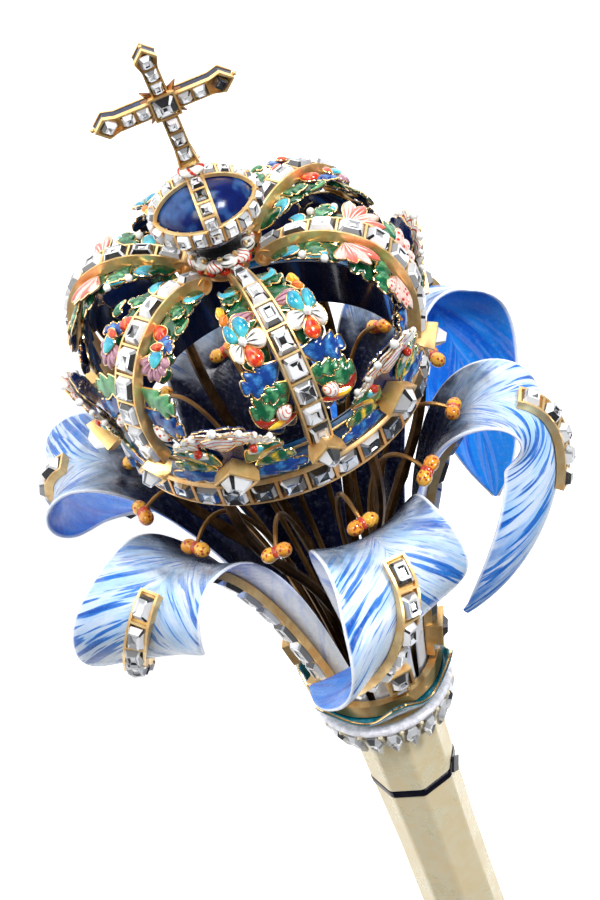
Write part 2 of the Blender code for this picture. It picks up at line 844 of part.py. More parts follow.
cage_top = ORB_Z + ORB_HALF + BAND_TALL + 0.15
collar_ring = turned_mesh(
    "cross_ring",
    [
        (0.0, CROSS_FOOT_Z - 0.1),
        (1.5, CROSS_FOOT_Z - 0.1),
        (2.1, (CROSS_FOOT_Z + cage_top) / 2),
        (1.5, cage_top + 0.05),
        (0.0, cage_top + 0.05),
    ],
    14,
)
place(bpy.data.objects.new("cross_ring", collar_ring), petal_enamel)


def cross_outline():
    """Outline of the cross about its crossing: kite-ended arms and a ray in each corner."""
    arms = (
        (90.0, CROSS_TOP_Z - CROSS_ARM_Z),
        (180.0, CROSS_SPAN_HALF),
        (270.0, CROSS_ARM_Z - CROSS_FOOT_Z),
        (0.0, CROSS_SPAN_HALF),
    )
    outline = []
    for heading, length in arms:
        if heading == 270.0:
            half_end = [(length - 2.2, CROSS_BAR_HALF), (length, CROSS_BAR_HALF + CROSS_SHOULDER)]
        else:
            half_end = [(length - 2 * CROSS_KITE, CROSS_BAR_HALF), (length - CROSS_KITE, CROSS_KITE)]
        half_end.insert(0, (CROSS_BAR_HALF + CROSS_SHOULDER, CROSS_BAR_HALF))
        side = [(x, -y) for x, y in half_end]
        if heading != 270.0:
            side.append((length, 0.0))
        side += reversed(half_end)
        turn = math.radians(heading)
        for x, y in side:
            across = x * math.cos(turn) - y * math.sin(turn)
            outline.append((across, x * math.sin(turn) + y * math.cos(turn)))
        ray = math.radians(heading + 45.0)
        reach = CROSS_RAY * math.sqrt(2)
        outline.append((reach * math.cos(ray), reach * math.sin(ray)))
    return outline


cross_curve = bpy.data.curves.new("cross", "CURVE")
cross_curve.dimensions = "2D"
cross_curve.fill_mode = "BOTH"
cross_curve.extrude = CROSS_THICK / 2 * MM
cross_line = cross_curve.splines.new("POLY")
outline = cross_outline()
cross_line.points.add(len(outline) - 1)
for point, at in zip(cross_line.points, outline):
    point.co = (at[0] * MM, at[1] * MM, 0.0, 1.0)
cross_line.use_cyclic_u = True
cross_mesh = baked(bpy.data.objects.new("cross", cross_curve))
stand = Matrix(((0, 0, 1, 0), (1, 0, 0, 0), (0, 1, 0, 0), (0, 0, 0, 1)))
foot_up = Matrix.Translation(Vector((0.0, 0.0, CROSS_ARM_Z - CROSS_FOOT_Z)) * MM)
cross_mesh.transform(foot_up @ stand)
cross = place(bpy.data.objects.new("cross", cross_mesh), gold)
cross.location = (0.0, 0.0, CROSS_FOOT_Z * MM)
cross.rotation_euler = (math.radians(-CROSS_LEAN_DEG), 0.0, 0.0)

# The rest pose: two neighbouring petals and the pommel touch the floor


def upright_points():
    """All points of the sceptre in the upright frame."""
    bpy.context.view_layer.update()
    clouds = []
    for obj in sceptre.objects:
        if obj.type != "MESH":
            continue
        flat = np.empty(len(obj.data.vertices) * 3)
        obj.data.vertices.foreach_get("co", flat)
        world = np.array(obj.matrix_world)
        clouds.append(flat.reshape(-1, 3) @ world[:3, :3].T + world[:3, 3])
    return np.concatenate(clouds)


def lying_rows(roll, pitch):
    """World axes in the upright frame: roll is the azimuth that looks up, pitch raises the head."""
    up = np.array([math.cos(roll), math.sin(roll), 0.0])
    side = np.array([-math.sin(roll), math.cos(roll), 0.0])
    axis = np.array([0.0, 0.0, 1.0])
    forward = math.cos(pitch) * axis - math.sin(pitch) * up
    top = math.sin(pitch) * axis + math.cos(pitch) * up
    return np.array([forward, np.cross(top, forward), top]), side


def bisected(error, low, high):
    start = error(low)
    for _ in range(50):
        middle = (low + high) / 2
        if (error(middle) > 0) == (start > 0):
            low = middle
        else:
            high = middle
    return (low + high) / 2


points = upright_points()
head_points = points[points[:, 2] > -100 * MM]
pommel_points = points[points[:, 2] < (SHAFT_END_Z + 1.0) * MM]
up_guess = math.radians(PETAL_AZIMUTH + STEP_DEG / 2)


def side_difference(roll):
    """How much lower one petal lies than its neighbour."""
    rows, side = lying_rows(roll, 0.0)
    heights = head_points @ rows[2]
    across = head_points @ side
    return heights[across > 0].min() - heights[across < 0].min()


roll = bisected(side_difference, up_guess - math.radians(25), up_guess + math.radians(25))


def end_difference(pitch):
    rows, _ = lying_rows(roll, pitch)
    return (head_points @ rows[2]).min() - (pommel_points @ rows[2]).min()


pitch = bisected(end_difference, math.radians(-2), math.radians(12))
rows, _ = lying_rows(roll, pitch)
laid = points @ rows.T
low = laid.min(axis=0)
high = laid.max(axis=0)
turn = Matrix([list(row) for row in rows])
lying.rotation_euler = turn.to_euler()
lying.location = (-(low[0] + high[0]) / 2, -(low[1] + high[1]) / 2, -low[2])
print(f"roll {math.degrees(roll):.2f} deg, pitch {math.degrees(pitch):.2f} deg")
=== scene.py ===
import math
import random

import bmesh
import bpy
import numpy as np
from mathutils import Matrix


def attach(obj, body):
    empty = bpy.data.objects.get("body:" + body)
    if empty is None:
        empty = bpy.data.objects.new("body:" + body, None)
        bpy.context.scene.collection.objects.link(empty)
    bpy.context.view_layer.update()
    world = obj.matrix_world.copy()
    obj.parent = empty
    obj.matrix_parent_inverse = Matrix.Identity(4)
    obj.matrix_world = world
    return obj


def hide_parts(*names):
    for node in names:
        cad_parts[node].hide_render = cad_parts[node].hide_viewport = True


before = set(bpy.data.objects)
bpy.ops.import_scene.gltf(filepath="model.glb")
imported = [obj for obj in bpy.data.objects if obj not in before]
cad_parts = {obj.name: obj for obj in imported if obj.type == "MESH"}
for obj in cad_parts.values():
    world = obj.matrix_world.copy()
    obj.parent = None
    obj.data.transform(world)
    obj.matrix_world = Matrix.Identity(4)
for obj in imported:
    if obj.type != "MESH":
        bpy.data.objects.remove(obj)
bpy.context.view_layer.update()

mm = 0.001

# The sceptre is modelled upright in millimetres: +Z towards the cross, z = 0 at the crown ring's foot,
# azimuth 0 at local +X. restPose lays it down where the frame has it.
restPose = {"rollDeg": 27.80237307, "pitchDeg": 3.21806458, "place": (0.23471393, -0.00154921, 0.04187439)}

fold = 6
stepDeg = 60.0
azimuths = {"arch": 9.0, "crest": -21.0, "petal": 12.0, "calyx": 4.0, "rod": 27.0}


# small sums that many pieces share
def smooth(x):
    x = np.clip(x, 0.0, 1.0)
    return x * x * (3.0 - 2.0 * x)


def blend(a, b, t):
    return a + (b - a) * t


def unit(vector):
    vector = np.asarray(vector, float)
    return vector / np.maximum(np.linalg.norm(vector, axis=-1, keepdims=True), 1e-12)


def bezier(points, t):
    a, b, c, d = (np.array(p, float) for p in points)
    s = 1.0 - t
    return s**3 * a + 3 * s * s * t * b + 3 * s * t * t * c + t**3 * d


def onRing(radius, azimuthDeg, z):
    angle = np.radians(azimuthDeg)
    return np.stack([radius * np.cos(angle), radius * np.sin(angle), z + 0.0 * angle], -1)


def cosSin(degrees):
    angle = math.radians(degrees)
    return math.cos(angle), math.sin(angle)


def turnedBy(points, azimuthDeg):
    c, s = cosSin(azimuthDeg)
    return np.asarray(points) @ np.array([[c, s, 0.0], [-s, c, 0.0], [0.0, 0.0, 1.0]])


def restMatrix():
    c, s = cosSin(restPose["pitchDeg"])
    up = np.array([*cosSin(restPose["rollDeg"]), 0.0])
    axis = np.array([0.0, 0.0, 1.0])
    forward = c * axis - s * up
    top = s * axis + c * up
    return np.array([forward, np.cross(top, forward), top])


restTurn = restMatrix()


def toWorld(points):
    return np.asarray(points) @ restTurn.T * mm + np.array(restPose["place"])


# what a cell's kind asks of the glaze
brush = {
    "gold": -1.0,
    "plain": 0.0,
    "strokes": 1.0,
    "dots": 2.0,
    "arcs": 3.0,
    "fade": 4.0,
    "patches": 5.0,
    "clouds": 6.0,
    "twist": 7.0,
}
# cell z is 1 here, so the glaze's painted rim shade leaves such a piece alone
wholeCell = (0.5, 0.0, 1.0)  # the middle of a cell, for a piece that is glazed as one
carried = {"paint": "FLOAT_COLOR", "accent": "FLOAT_COLOR", "cell": "FLOAT_VECTOR", "kind": "FLOAT"}


# shapes: points with paint, accent, cell and kind carried at each point
def newShape():
    return {"points": [], "faces": [], "count": 0, **{key: [] for key in carried}}


def spread(value, count, width):
    value = np.asarray(value, float)
    if value.ndim == (1 if width > 1 else 0):
        value = np.tile(value, (count, 1) if width > 1 else count)
    return value.reshape((count, width) if width > 1 else (count,))


def add(shape, points, faces, paint=(0.8, 0.8, 0.8), accent=None, cell=(0.0, 0.0, 0.0), kind="plain"):
    points = np.asarray(points, float).reshape(-1, 3)
    code = brush[kind] if isinstance(kind, str) else kind
    count = len(points)
    base = shape["count"]
    if isinstance(faces, np.ndarray):
        shape["faces"] += (faces + base).tolist()
    else:
        shape["faces"] += [[k + base for k in face] for face in faces]
    shape["points"].append(points)
    shape["paint"].append(spread(paint, count, 3))
    shape["accent"].append(spread(paint if accent is None else accent, count, 3))
    shape["cell"].append(spread(cell, count, 3))
    shape["kind"].append(spread(code, count, 1))
    shape["count"] += count


def merge(target, source):
    base = target["count"]
    target["faces"] += [[n + base for n in face] for face in source["faces"]]
    for key in ("points", *carried):
        target[key] += source[key]
    target["count"] += source["count"]


def turnedShape(shape, azimuthDeg):
    return {**shape, "points": [turnedBy(p, azimuthDeg) for p in shape["points"]]}


def gridFaces(rows, cols, wrapRows=False, wrapCols=False):
    i, j = np.meshgrid(
        np.arange(rows if wrapRows else rows - 1),
        np.arange(cols if wrapCols else cols - 1),
        indexing="ij",
    )
    nextI = (i + 1) % rows
    nextJ = (j + 1) % cols
    corners = (i * cols + j, i * cols + nextJ, nextI * cols + nextJ, nextI * cols + j)
    return np.stack(corners, -1).reshape(-1, 4)


def loftFaces(rows, cols, capStart=True, capEnd=True):
    faces = gridFaces(rows, cols, wrapCols=True).tolist()
    if capStart:
        faces.append(list(range(cols))[::-1])
    if capEnd:
        faces.append([(rows - 1) * cols + k for k in range(cols)])
    return faces


# faces over rings of points: joined end to start when closed, capped when not
def ringFaces(rows, cols, closed):
    return gridFaces(rows, cols, wrapRows=True, wrapCols=True) if closed else loftFaces(rows, cols)


def tangentsOf(path, closed):
    if closed:
        return unit(np.roll(path, -1, 0) - np.roll(path, 1, 0))
    return unit(np.gradient(path, axis=0))


# a round wire along a path; radius may change along it
def tube(shape, path, radius, sides=5, closed=False, **looks):
    path = np.asarray(path, float)
    along = tangentsOf(path, closed)
    normal = np.cross(along[0], (0.31, 0.52, 0.8))
    frames = []
    for direction in along:
        normal = unit(normal - direction * np.dot(normal, direction))
        frames.append((normal, np.cross(direction, normal)))
    angles = np.arange(sides) / sides * 2 * math.pi
    radius = np.broadcast_to(np.asarray(radius, float), (len(path),))
    rings = [
        here + r * (np.outer(np.cos(angles), a) + np.outer(np.sin(angles), b))
        for here, r, (a, b) in zip(path, radius, frames)
    ]
    add(shape, np.concatenate(rings), ringFaces(len(path), sides, closed), **looks)


# a turned part from (radius, z) points; ends on the axis are capped by small discs
def lathe(shape, profile, sides, closed=False, start=0.0, **looks):
    azimuth = start + np.arange(sides) / sides * 360.0
    rows = [onRing(max(r, 0.02), azimuth, z) for r, z in profile]
    add(shape, np.concatenate(rows), ringFaces(len(rows), sides, closed), **looks)


# a bead: an ellipsoid with its own axes
def ball(shape, centre, radii, axes=None, rings=8, sides=12, **looks):
    axes = np.eye(3) if axes is None else np.asarray(axes, float)
    polar = np.linspace(0.04, math.pi - 0.04, rings)
    around = np.arange(sides) / sides * 2 * math.pi
    x = np.outer(np.sin(polar), np.cos(around))
    y = np.outer(np.sin(polar), np.sin(around))
    z = np.outer(np.cos(polar), np.ones(sides))
    local = np.stack([x, y, z], -1).reshape(-1, 3)
    looks.setdefault("cell", np.stack([(1 + local[:, 2]) / 2, local[:, 0], local[:, 1]], -1))
    add(shape, np.asarray(centre) + (local * np.asarray(radii)) @ axes, loftFaces(rings, sides), **looks)


def box(shape, centre, axes, halves, **looks):
    square = ((-1, -1), (1, -1), (1, 1), (-1, 1))
    corners = [(x, y, z) for z in (-1, 1) for x, y in square]
    faces = [[0, 3, 2, 1], [4, 5, 6, 7], [0, 1, 5, 4], [1, 2, 6, 5], [2, 3, 7, 6], [3, 0, 4, 7]]
    points = np.asarray(centre) + (np.array(corners, float) * np.asarray(halves)) @ np.asarray(axes)
    add(shape, points, faces, **looks)


# a cross-section of (across, up) points carried along a row of (here, across, normal) frames
def strip(shape, frames, profileOf, closed=False, **looks):
    rings = []
    for i, (here, across, normal) in enumerate(frames):
        for a, n in profileOf(i / max(len(frames) - 1, 1)):
            rings.append(here + across * a + normal * n)
    size = len(rings) // len(frames)
    add(shape, np.array(rings), ringFaces(len(frames), size, closed), **looks)


# turns a shape into one object that rides on the sceptre
def build(name, shape, material, replaced=(), sharpDeg=35.0, facing=True):
    points = toWorld(np.concatenate(shape["points"]))
    mesh = bpy.data.meshes.new(name)
    mesh.from_pydata(points.tolist(), [], shape["faces"])
    for key, kind in carried.items():
        values = np.concatenate(shape[key])
        made = mesh.attributes.new(key, kind, "POINT")
        if kind == "FLOAT_COLOR":
            values = np.concatenate([values, np.ones((len(values), 1))], 1)
            made.data.foreach_set("color", values.astype(np.float32).ravel())
        elif kind == "FLOAT_VECTOR":
            made.data.foreach_set("vector", values.astype(np.float32).ravel())
        else:
            made.data.foreach_set("value", values.astype(np.float32))
    if facing:
        work = bmesh.new()
        work.from_mesh(mesh)
        bmesh.ops.recalc_face_normals(work, faces=work.faces)
        work.to_mesh(mesh)
        work.free()
    if sharpDeg > 0:
        mesh.polygons.foreach_set("use_smooth", [True] * len(mesh.polygons))
        mesh.set_sharp_from_angle(angle=math.radians(sharpDeg))
    obj = bpy.data.objects.new(name, mesh)
    bpy.context.scene.collection.objects.link(obj)
    mesh.materials.append(material)
    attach(obj, "root")
    if replaced:
        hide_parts(*replaced)
    return obj


# shader helpers
def node(tree, kind, inputs=None, **settings):
    made = tree.nodes.new("ShaderNode" + kind)
    for key, value in settings.items():
        setattr(made, key, value)
    for key, value in (inputs or {}).items():
        if isinstance(value, bpy.types.NodeSocket):
            tree.links.new(value, made.inputs[key])
        else:
            made.inputs[key].default_value = value
    return made


def calc(tree, operation, a, b=0.0, c=0.0, clamp=False):
    made = node(tree, "Math", {0: a, 1: b, 2: c}, operation=operation)
    made.use_clamp = clamp
    return made.outputs[0]


def mixColour(tree, factor, a, b, how="MIX"):
    a, b = ((*value, 1.0) if isinstance(value, tuple) else value for value in (a, b))
    return node(tree, "Mix", {0: factor, 6: a, 7: b}, data_type="RGBA", blend_type=how).outputs[2]


def band(tree, value, low, high, toLow=0.0, toHigh=1.0):
    made = node(tree, "MapRange", {0: value, 1: low, 2: high, 3: toLow, 4: toHigh})
    made.interpolation_type = "SMOOTHSTEP"
    return made.outputs[0]


def noise(tree, vector, scale, detail, **more):
    looks = {"Vector": vector, "Scale": scale, "Detail": detail, **more}
    return node(tree, "TexNoise", looks).outputs[0]


def ofAttribute(tree, name, output):
    return node(tree, "Attribute", attribute_name=name).outputs[output]


def newGroup(name, inputs, outputs):
    tree = bpy.data.node_groups.new(name, "ShaderNodeTree")
    for label, kind, value in inputs:
        socket = tree.interface.new_socket(label, in_out="INPUT", socket_type="NodeSocket" + kind)
        socket.default_value = value
    for label, kind in outputs:
        tree.interface.new_socket(label, in_out="OUTPUT", socket_type="NodeSocket" + kind)
    return tree, tree.nodes.new("NodeGroupInput").outputs, tree.nodes.new("NodeGroupOutput").inputs


def useGroup(tree, group, inputs):
    return node(tree, "Group", inputs, node_tree=group).outputs


def newMaterial(name, settings):
    made = bpy.data.materials.new(name)
    made.use_nodes = True
    shader = made.node_tree.nodes["Principled BSDF"]
    for label, value in settings.items():
        shader.inputs[label].default_value = value
    return made, made.node_tree, shader


def bump(tree, shader, height, strength, distanceMm):
    made = node(tree, "Bump", {"Strength": strength, "Distance": distanceMm * mm, "Height": height})
    tree.links.new(made.outputs[0], shader.inputs["Normal"])


# hand wear: soft smudges and fine scratches that every polished surface here carries
def makeHandWear():
    tree, given, result = newGroup(
        "handWear",
        [("Scale", "Float", 1.0), ("Smudge", "Float", 0.5), ("Scratch", "Float", 0.5)],
        [("Mask", "Float"), ("Height", "Float")],
    )
    place = node(tree, "TexCoord").outputs["Object"]
    grow = node(tree, "VectorMath", {0: place, 3: given["Scale"]}, operation="SCALE").outputs[0]
    smudge = noise(tree, grow, 260.0, 4.0, Roughness=0.6)
    fine = noise(tree, grow, 2400.0, 2.0, Distortion=1.5)
    worn = calc(tree, "MULTIPLY", band(tree, smudge, 0.35, 0.7), given["Smudge"])
    lines = calc(tree, "MULTIPLY", band(tree, fine, 0.5, 0.75), given["Scratch"])
    tree.links.new(calc(tree, "ADD", worn, lines, clamp=True), result["Mask"])
    tree.links.new(calc(tree, "ADD", calc(tree, "MULTIPLY", fine, 0.4), smudge), result["Height"])
    return tree


# leaves have this many lobes down each side
lobeCount = 2.7


# glaze: how enamel mottles and takes the painter's strokes inside one cell, with painted shade that darkens
# each cell towards its rim
def makeGlaze():
    tree, given, result = newGroup(
        "glaze",
        [("Paint", "Color", (1, 1, 1, 1)), ("Accent", "Color", (1, 1, 1, 1)), ("Scale", "Float", 1.0)],
        [("Color", "Color"), ("Gold", "Float"), ("Height", "Float")],
    )
    kind = ofAttribute(tree, "kind", "Fac")
    cell = node(tree, "SeparateXYZ", {0: ofAttribute(tree, "cell", "Vector")}).outputs
    place = node(tree, "TexCoord").outputs["Object"]
    grow = node(tree, "VectorMath", {0: place, 3: given["Scale"]}, operation="SCALE").outputs[0]
    mottle = noise(tree, grow, 900.0, 5.0, Roughness=0.65)
    broad = noise(tree, grow, 330.0, 2.0)
    waver = calc(tree, "MULTIPLY", calc(tree, "SUBTRACT", broad, 0.5), 3.0)
    strokeWave = calc(tree, "SINE", calc(tree, "ADD", calc(tree, "MULTIPLY", cell[1], 10.0), waver))
    strokes = calc(
        tree,
        "MULTIPLY",
        band(tree, strokeWave, 0.1, 0.75),
        band(tree, calc(tree, "ADD", cell[0], calc(tree, "MULTIPLY", waver, 0.12)), 0.8, 0.25),
    )
    speck = node(tree, "TexVoronoi", {"Vector": grow, "Scale": 1500.0}).outputs[0]
    dots = band(tree, speck, 0.40, 0.28)
    bow = calc(tree, "MULTIPLY", calc(tree, "MULTIPLY", cell[1], cell[1]), 0.35)
    arcWave = calc(tree, "SINE", calc(tree, "MULTIPLY", calc(tree, "ADD", cell[0], bow), 24.0))
    arcs = band(tree, arcWave, 0.4, 0.85)
    fade = band(tree, calc(tree, "ADD", cell[0], calc(tree, "MULTIPLY", waver, 0.18)), 0.75, 0.15)
    lobeWave = calc(tree, "SINE", calc(tree, "MULTIPLY_ADD", cell[0], lobeCount * math.pi, 0.06 * math.pi))
    lobeSquare = calc(tree, "MULTIPLY", lobeWave, lobeWave)
    lobeGlow = calc(tree, "MULTIPLY_ADD", calc(tree, "SUBTRACT", mottle, 0.5), 3.0, lobeSquare)
    patches = calc(tree, "MULTIPLY", band(tree, lobeGlow, 0.3, 1.5), band(tree, cell[2], 0.15, 0.75))
    clouds = band(tree, broad, 0.50, 0.66)
    twist = band(tree, cell[0], 0.76, 0.9)
    masks = {
        "strokes": strokes,
        "dots": dots,
        "arcs": arcs,
        "fade": fade,
        "patches": patches,
        "clouds": clouds,
        "twist": twist,
    }
    chosen = None
    for name, mask in masks.items():
        part = calc(tree, "MULTIPLY", calc(tree, "COMPARE", kind, brush[name], 0.3), mask)
        chosen = part if chosen is None else calc(tree, "ADD", chosen, part, clamp=True)
    painted = mixColour(tree, chosen, given["Paint"], given["Accent"])
    # random depth of the enamel, times painted shade: each cell darkens towards its rim, where cell z falls
    # to 0
    depth = calc(tree, "MULTIPLY_ADD", band(tree, mottle, 0.3, 0.75), 0.5, 0.72)
    depthAndRimShade = calc(tree, "MULTIPLY", depth, band(tree, cell[2], 0.0, 0.28, 0.72, 1.0))
    shade = node(tree, "CombineColor", {0: depthAndRimShade, 1: depthAndRimShade, 2: depthAndRimShade}).outputs[0]
    tree.links.new(mixColour(tree, 1.0, painted, shade, "MULTIPLY"), result["Color"])
    tree.links.new(calc(tree, "LESS_THAN", kind, brush["gold"] / 2), result["Gold"])
    tree.links.new(calc(tree, "MULTIPLY_ADD", mottle, 0.3, broad), result["Height"])
    return tree


handWear = makeHandWear()
glaze = makeGlaze()


def makeGold(name, look):
    made, tree, shader = newMaterial(name, {"Metallic": look["metallic"]})
    wear = useGroup(tree, handWear, {"Scale": look["wearScale"], "Smudge": 0.8, "Scratch": 0.4})
    tint = noise(tree, node(tree, "TexCoord").outputs["Object"], 420.0, 2.0)
    base = mixColour(tree, band(tree, tint, 0.35, 0.7), look["light"], look["deep"])
    tinted = mixColour(tree, 1.0, base, ofAttribute(tree, "paint", "Color"), "MULTIPLY")
    worn = mixColour(tree, calc(tree, "MULTIPLY", wear["Mask"], 0.35), tinted, look["dirt"])
    tree.links.new(worn, shader.inputs["Base Color"])
    rough = band(tree, wear["Mask"], 0.0, 1.0, look["polish"], look["dull"])
    tree.links.new(rough, shader.inputs["Roughness"])
    bump(tree, shader, wear["Height"], look["bump"], 0.08)
    return made


goldLook = {
    "metallic": 0.8,
    "light": (1.0, 0.75, 0.37),
    "deep": (0.90, 0.55, 0.21),
    "dirt": (0.42, 0.22, 0.08),
    "polish": 0.32,
    "dull": 0.5,
    "bump": 0.35,
    "wearScale": 1.0,
}
# the shaft's and collar's gold, a paler and nearly matt copy of the gold: partly the pale gilding, partly
# painted light standing for gold washed out to cream by the lamps
shaftLook = {
    "metallic": 0.08,
    "light": (1.0, 0.91, 0.64),
    "deep": (1.0, 0.84, 0.52),
    "dirt": (0.86, 0.66, 0.38),
    "polish": 0.26,
    "dull": 0.42,
    "bump": 0.2,
    "wearScale": 0.5,
}
gold = makeGold("polished_gold", goldLook)
paleGold = makeGold("pale_gold", shaftLook)


def makeEnamel(name, look):
    coat = {"Coat Weight": look["coat"], "Coat Roughness": 0.04, "Specular IOR Level": look["mirror"]}
    made, tree, shader = newMaterial(name, coat)
    colours = {label: ofAttribute(tree, label.lower(), "Color") for label in ("Paint", "Accent")}
    inside = useGroup(tree, glaze, {**colours, "Scale": look["scale"]})
    wear = useGroup(tree, handWear, {"Scale": 1.0, "Smudge": 0.5, "Scratch": 0.3})
    metal = inside["Gold"]
    tone = mixColour(tree, wear["Mask"], goldLook["light"], goldLook["deep"])
    tree.links.new(mixColour(tree, metal, inside["Color"], tone), shader.inputs["Base Color"])
    tree.links.new(metal, shader.inputs["Metallic"])
    gloss = calc(tree, "MULTIPLY_ADD", wear["Mask"], look["dull"], look["polish"])
    tree.links.new(calc(tree, "ADD", gloss, calc(tree, "MULTIPLY", metal, 0.08)), shader.inputs["Roughness"])
    bump(tree, shader, inside["Height"], look["bump"], 0.12)
    return made


enamelLook = {"scale": 1.0, "polish": 0.07, "dull": 0.22, "bump": 0.3, "coat": 0.4, "mirror": 0.5}
deepLook = {"scale": 0.8, "polish": 0.12, "dull": 0.25, "bump": 0.15, "coat": 0.08, "mirror": 0.25}
enamel = makeEnamel("painted_enamel", enamelLook)
deepEnamel = makeEnamel("deep_blue_enamel", deepLook)


def makeDiamond():
    glass = {"IOR": 1.7, "Transmission Weight": 0.25, "Coat Weight": 0.25, "Coat Roughness": 0.0}
    made, tree, shader = newMaterial("diamond", glass)
    wear = useGroup(tree, handWear, {"Scale": 1.0, "Smudge": 0.5, "Scratch": 0.1})
    tone = ofAttribute(tree, "paint", "Color")
    greyed = mixColour(tree, calc(tree, "MULTIPLY", wear["Mask"], 0.12), tone, (0.45, 0.47, 0.52))
    tree.links.new(greyed, shader.inputs["Base Color"])
    tree.links.new(band(tree, wear["Mask"], 0.0, 1.0, 0.0, 0.06), shader.inputs["Roughness"])
    return made


diamond = makeDiamond()

petalLook = {
    "white": (0.55, 0.65, 0.79),
    "wash": (0.20, 0.46, 0.82),
    "stroke": (0.006, 0.15, 0.56),
    "deepStroke": (0.004, 0.045, 0.32),
    "crestShade": (0.34, 0.36, 0.46),
    "under": (0.003, 0.115, 0.62),
    "underLight": (0.012, 0.26, 0.84),
    "lilac": (0.33, 0.46, 0.84),
    # the throat colour is painted shade for the funnel's shadowed inside
    "throat": (0.003, 0.006, 0.03),
    "margin": (0.88, 0.91, 0.97),
}


def makePetalEnamel(look):
    coat = {"Coat Weight": 0.1, "Coat Roughness": 0.12, "Specular IOR Level": 0.3}
    made, tree, shader = newMaterial("lily_enamel", coat)
    cell = node(tree, "SeparateXYZ", {0: ofAttribute(tree, "cell", "Vector")}).outputs
    seed = ofAttribute(tree, "kind", "Fac")
    u, v, side = cell

    def mask(*parts):
        made = parts[0]
        for part in parts[1:]:
            made = calc(tree, "MULTIPLY", made, part)
        return made

    # drift is constant along a brush stroke, which leaves the midrib and bends out to the margin
    outward = calc(tree, "ABSOLUTE", v)
    drift = calc(tree, "MULTIPLY_ADD", u, -6.5, calc(tree, "POWER", outward, 0.75))
    patch = calc(tree, "MULTIPLY_ADD", calc(tree, "SIGN", v), 3.0, seed)

    def across(stretch, length):
        turned = calc(tree, "MULTIPLY", drift, stretch)
        drawn = calc(tree, "MULTIPLY", outward, length)
        return node(tree, "CombineXYZ", {0: turned, 1: drawn, 2: patch}).outputs[0]

    rough = {"Roughness": 0.55}
    washNoise = noise(tree, across(2.2, 1.1), 1.0, 4.0, Distortion=0.6, **rough)
    lineNoise = noise(tree, across(7.4, 1.05), 1.0, 2.0, Distortion=0.35, **rough)
    hair = noise(tree, across(16.0, 2.4), 1.0, 3.0, Distortion=0.3, **rough)
    place = node(tree, "TexCoord").outputs["Object"]
    grain = noise(tree, place, 1300.0, 4.0, **rough)
    cloud = noise(tree, place, 170.0, 4.0, Distortion=0.8, **rough)
    curl = band(tree, u, 0.47, 0.56)
    washed = mixColour(tree, mask(band(tree, washNoise, 0.42, 0.66), 0.6), look["white"], look["wash"])
    haired = mixColour(tree, mask(band(tree, hair, 0.52, 0.64), 0.5), washed, look["wash"])
    strokes = mask(band(tree, lineNoise, 0.525, 0.565), curl, band(tree, outward, 0.04, 0.25))
    stroked = mixColour(tree, mask(strokes, 0.95), haired, look["stroke"])
    cores = mask(band(tree, lineNoise, 0.57, 0.66), curl, band(tree, outward, 0.2, 0.7))
    cored = mixColour(tree, mask(cores, 0.7), stroked, look["deepStroke"])
    tail = mask(band(tree, u, 0.80, 0.95), band(tree, washNoise, 0.40, 0.56), 0.85)
    tailed = mixColour(tree, tail, cored, look["stroke"])
    # painted shade: a dull blue-grey clouded over each petal's crest, where it turns down into the funnel,
    # with strokes inked over it
    crest = mask(band(tree, u, 0.40, 0.48), band(tree, u, 0.66, 0.52), band(tree, cloud, 0.46, 0.62))
    crestShaded = mixColour(tree, mask(crest, band(tree, hair, 0.40, 0.56), 0.75), tailed, look["crestShade"])
    inked = mixColour(tree, mask(crest, band(tree, hair, 0.52, 0.62), 0.8), crestShaded, look["stroke"])
    # painted shade: each petal's inside is painted near black towards the throat, where the funnel lies in
    # shadow
    throat = band(tree, calc(tree, "MULTIPLY_ADD", cloud, 0.2, u), 0.66, 0.51)
    upper = mixColour(tree, throat, inked, look["throat"])
    deep = mixColour(tree, band(tree, washNoise, 0.35, 0.62), look["under"], look["underLight"])
    showing = mask(band(tree, lineNoise, 0.50, 0.60), band(tree, u, 0.70, 0.86))
    streaked = mixColour(tree, mask(showing, 0.25), deep, look["lilac"])
    funnel = band(tree, calc(tree, "MULTIPLY_ADD", washNoise, 0.3, u), 0.60, 0.46)
    pale = mixColour(tree, mask(band(tree, washNoise, 0.48, 0.68), 0.75), look["margin"], look["lilac"])
    lower = mixColour(tree, funnel, streaked, pale)
    both = mixColour(tree, calc(tree, "GREATER_THAN", side, 0.0), lower, upper)
    edge = mask(band(tree, outward, 0.95, 0.99), 0.8, band(tree, u, 0.35, 0.5))
    edged = mixColour(tree, edge, both, look["margin"])
    aged = mixColour(tree, mask(band(tree, grain, 0.5, 0.8), 0.2), edged, (0.42, 0.47, 0.60))
    tree.links.new(aged, shader.inputs["Base Color"])
    wear = useGroup(tree, handWear, {"Scale": 1.0, "Smudge": 0.7, "Scratch": 0.4})
    tree.links.new(band(tree, wear["Mask"], 0.0, 1.0, 0.22, 0.48), shader.inputs["Roughness"])
    height = calc(tree, "MULTIPLY_ADD", lineNoise, 1.2, calc(tree, "MULTIPLY", grain, 0.6))
    bump(tree, shader, height, 0.35, 0.25)
    return made


lilyEnamel = makePetalEnamel(petalLook)
print("materials made")


# stones and their settings
def buildGold(name, shape, *replaced):
    build(name, shape, gold, replaced)


def buildStones(name, shape):
    build(name, shape, diamond, (), 0)


# tones of stone facets: painted reflections, light, mid or dark
facetReflectionTones = {"light": (0.80, 1.0), "mid": (0.22, 0.50), "dark": (0.004, 0.05)}


def drawReflectionTone(rng, light=0.45, mid=0.2):
    draw = rng.random()
    name = "light" if draw < light else ("mid" if draw < light + mid else "dark")
    tone = rng.uniform(*facetReflectionTones[name])
    return (tone * 0.96, tone * 0.98, tone * 1.02)


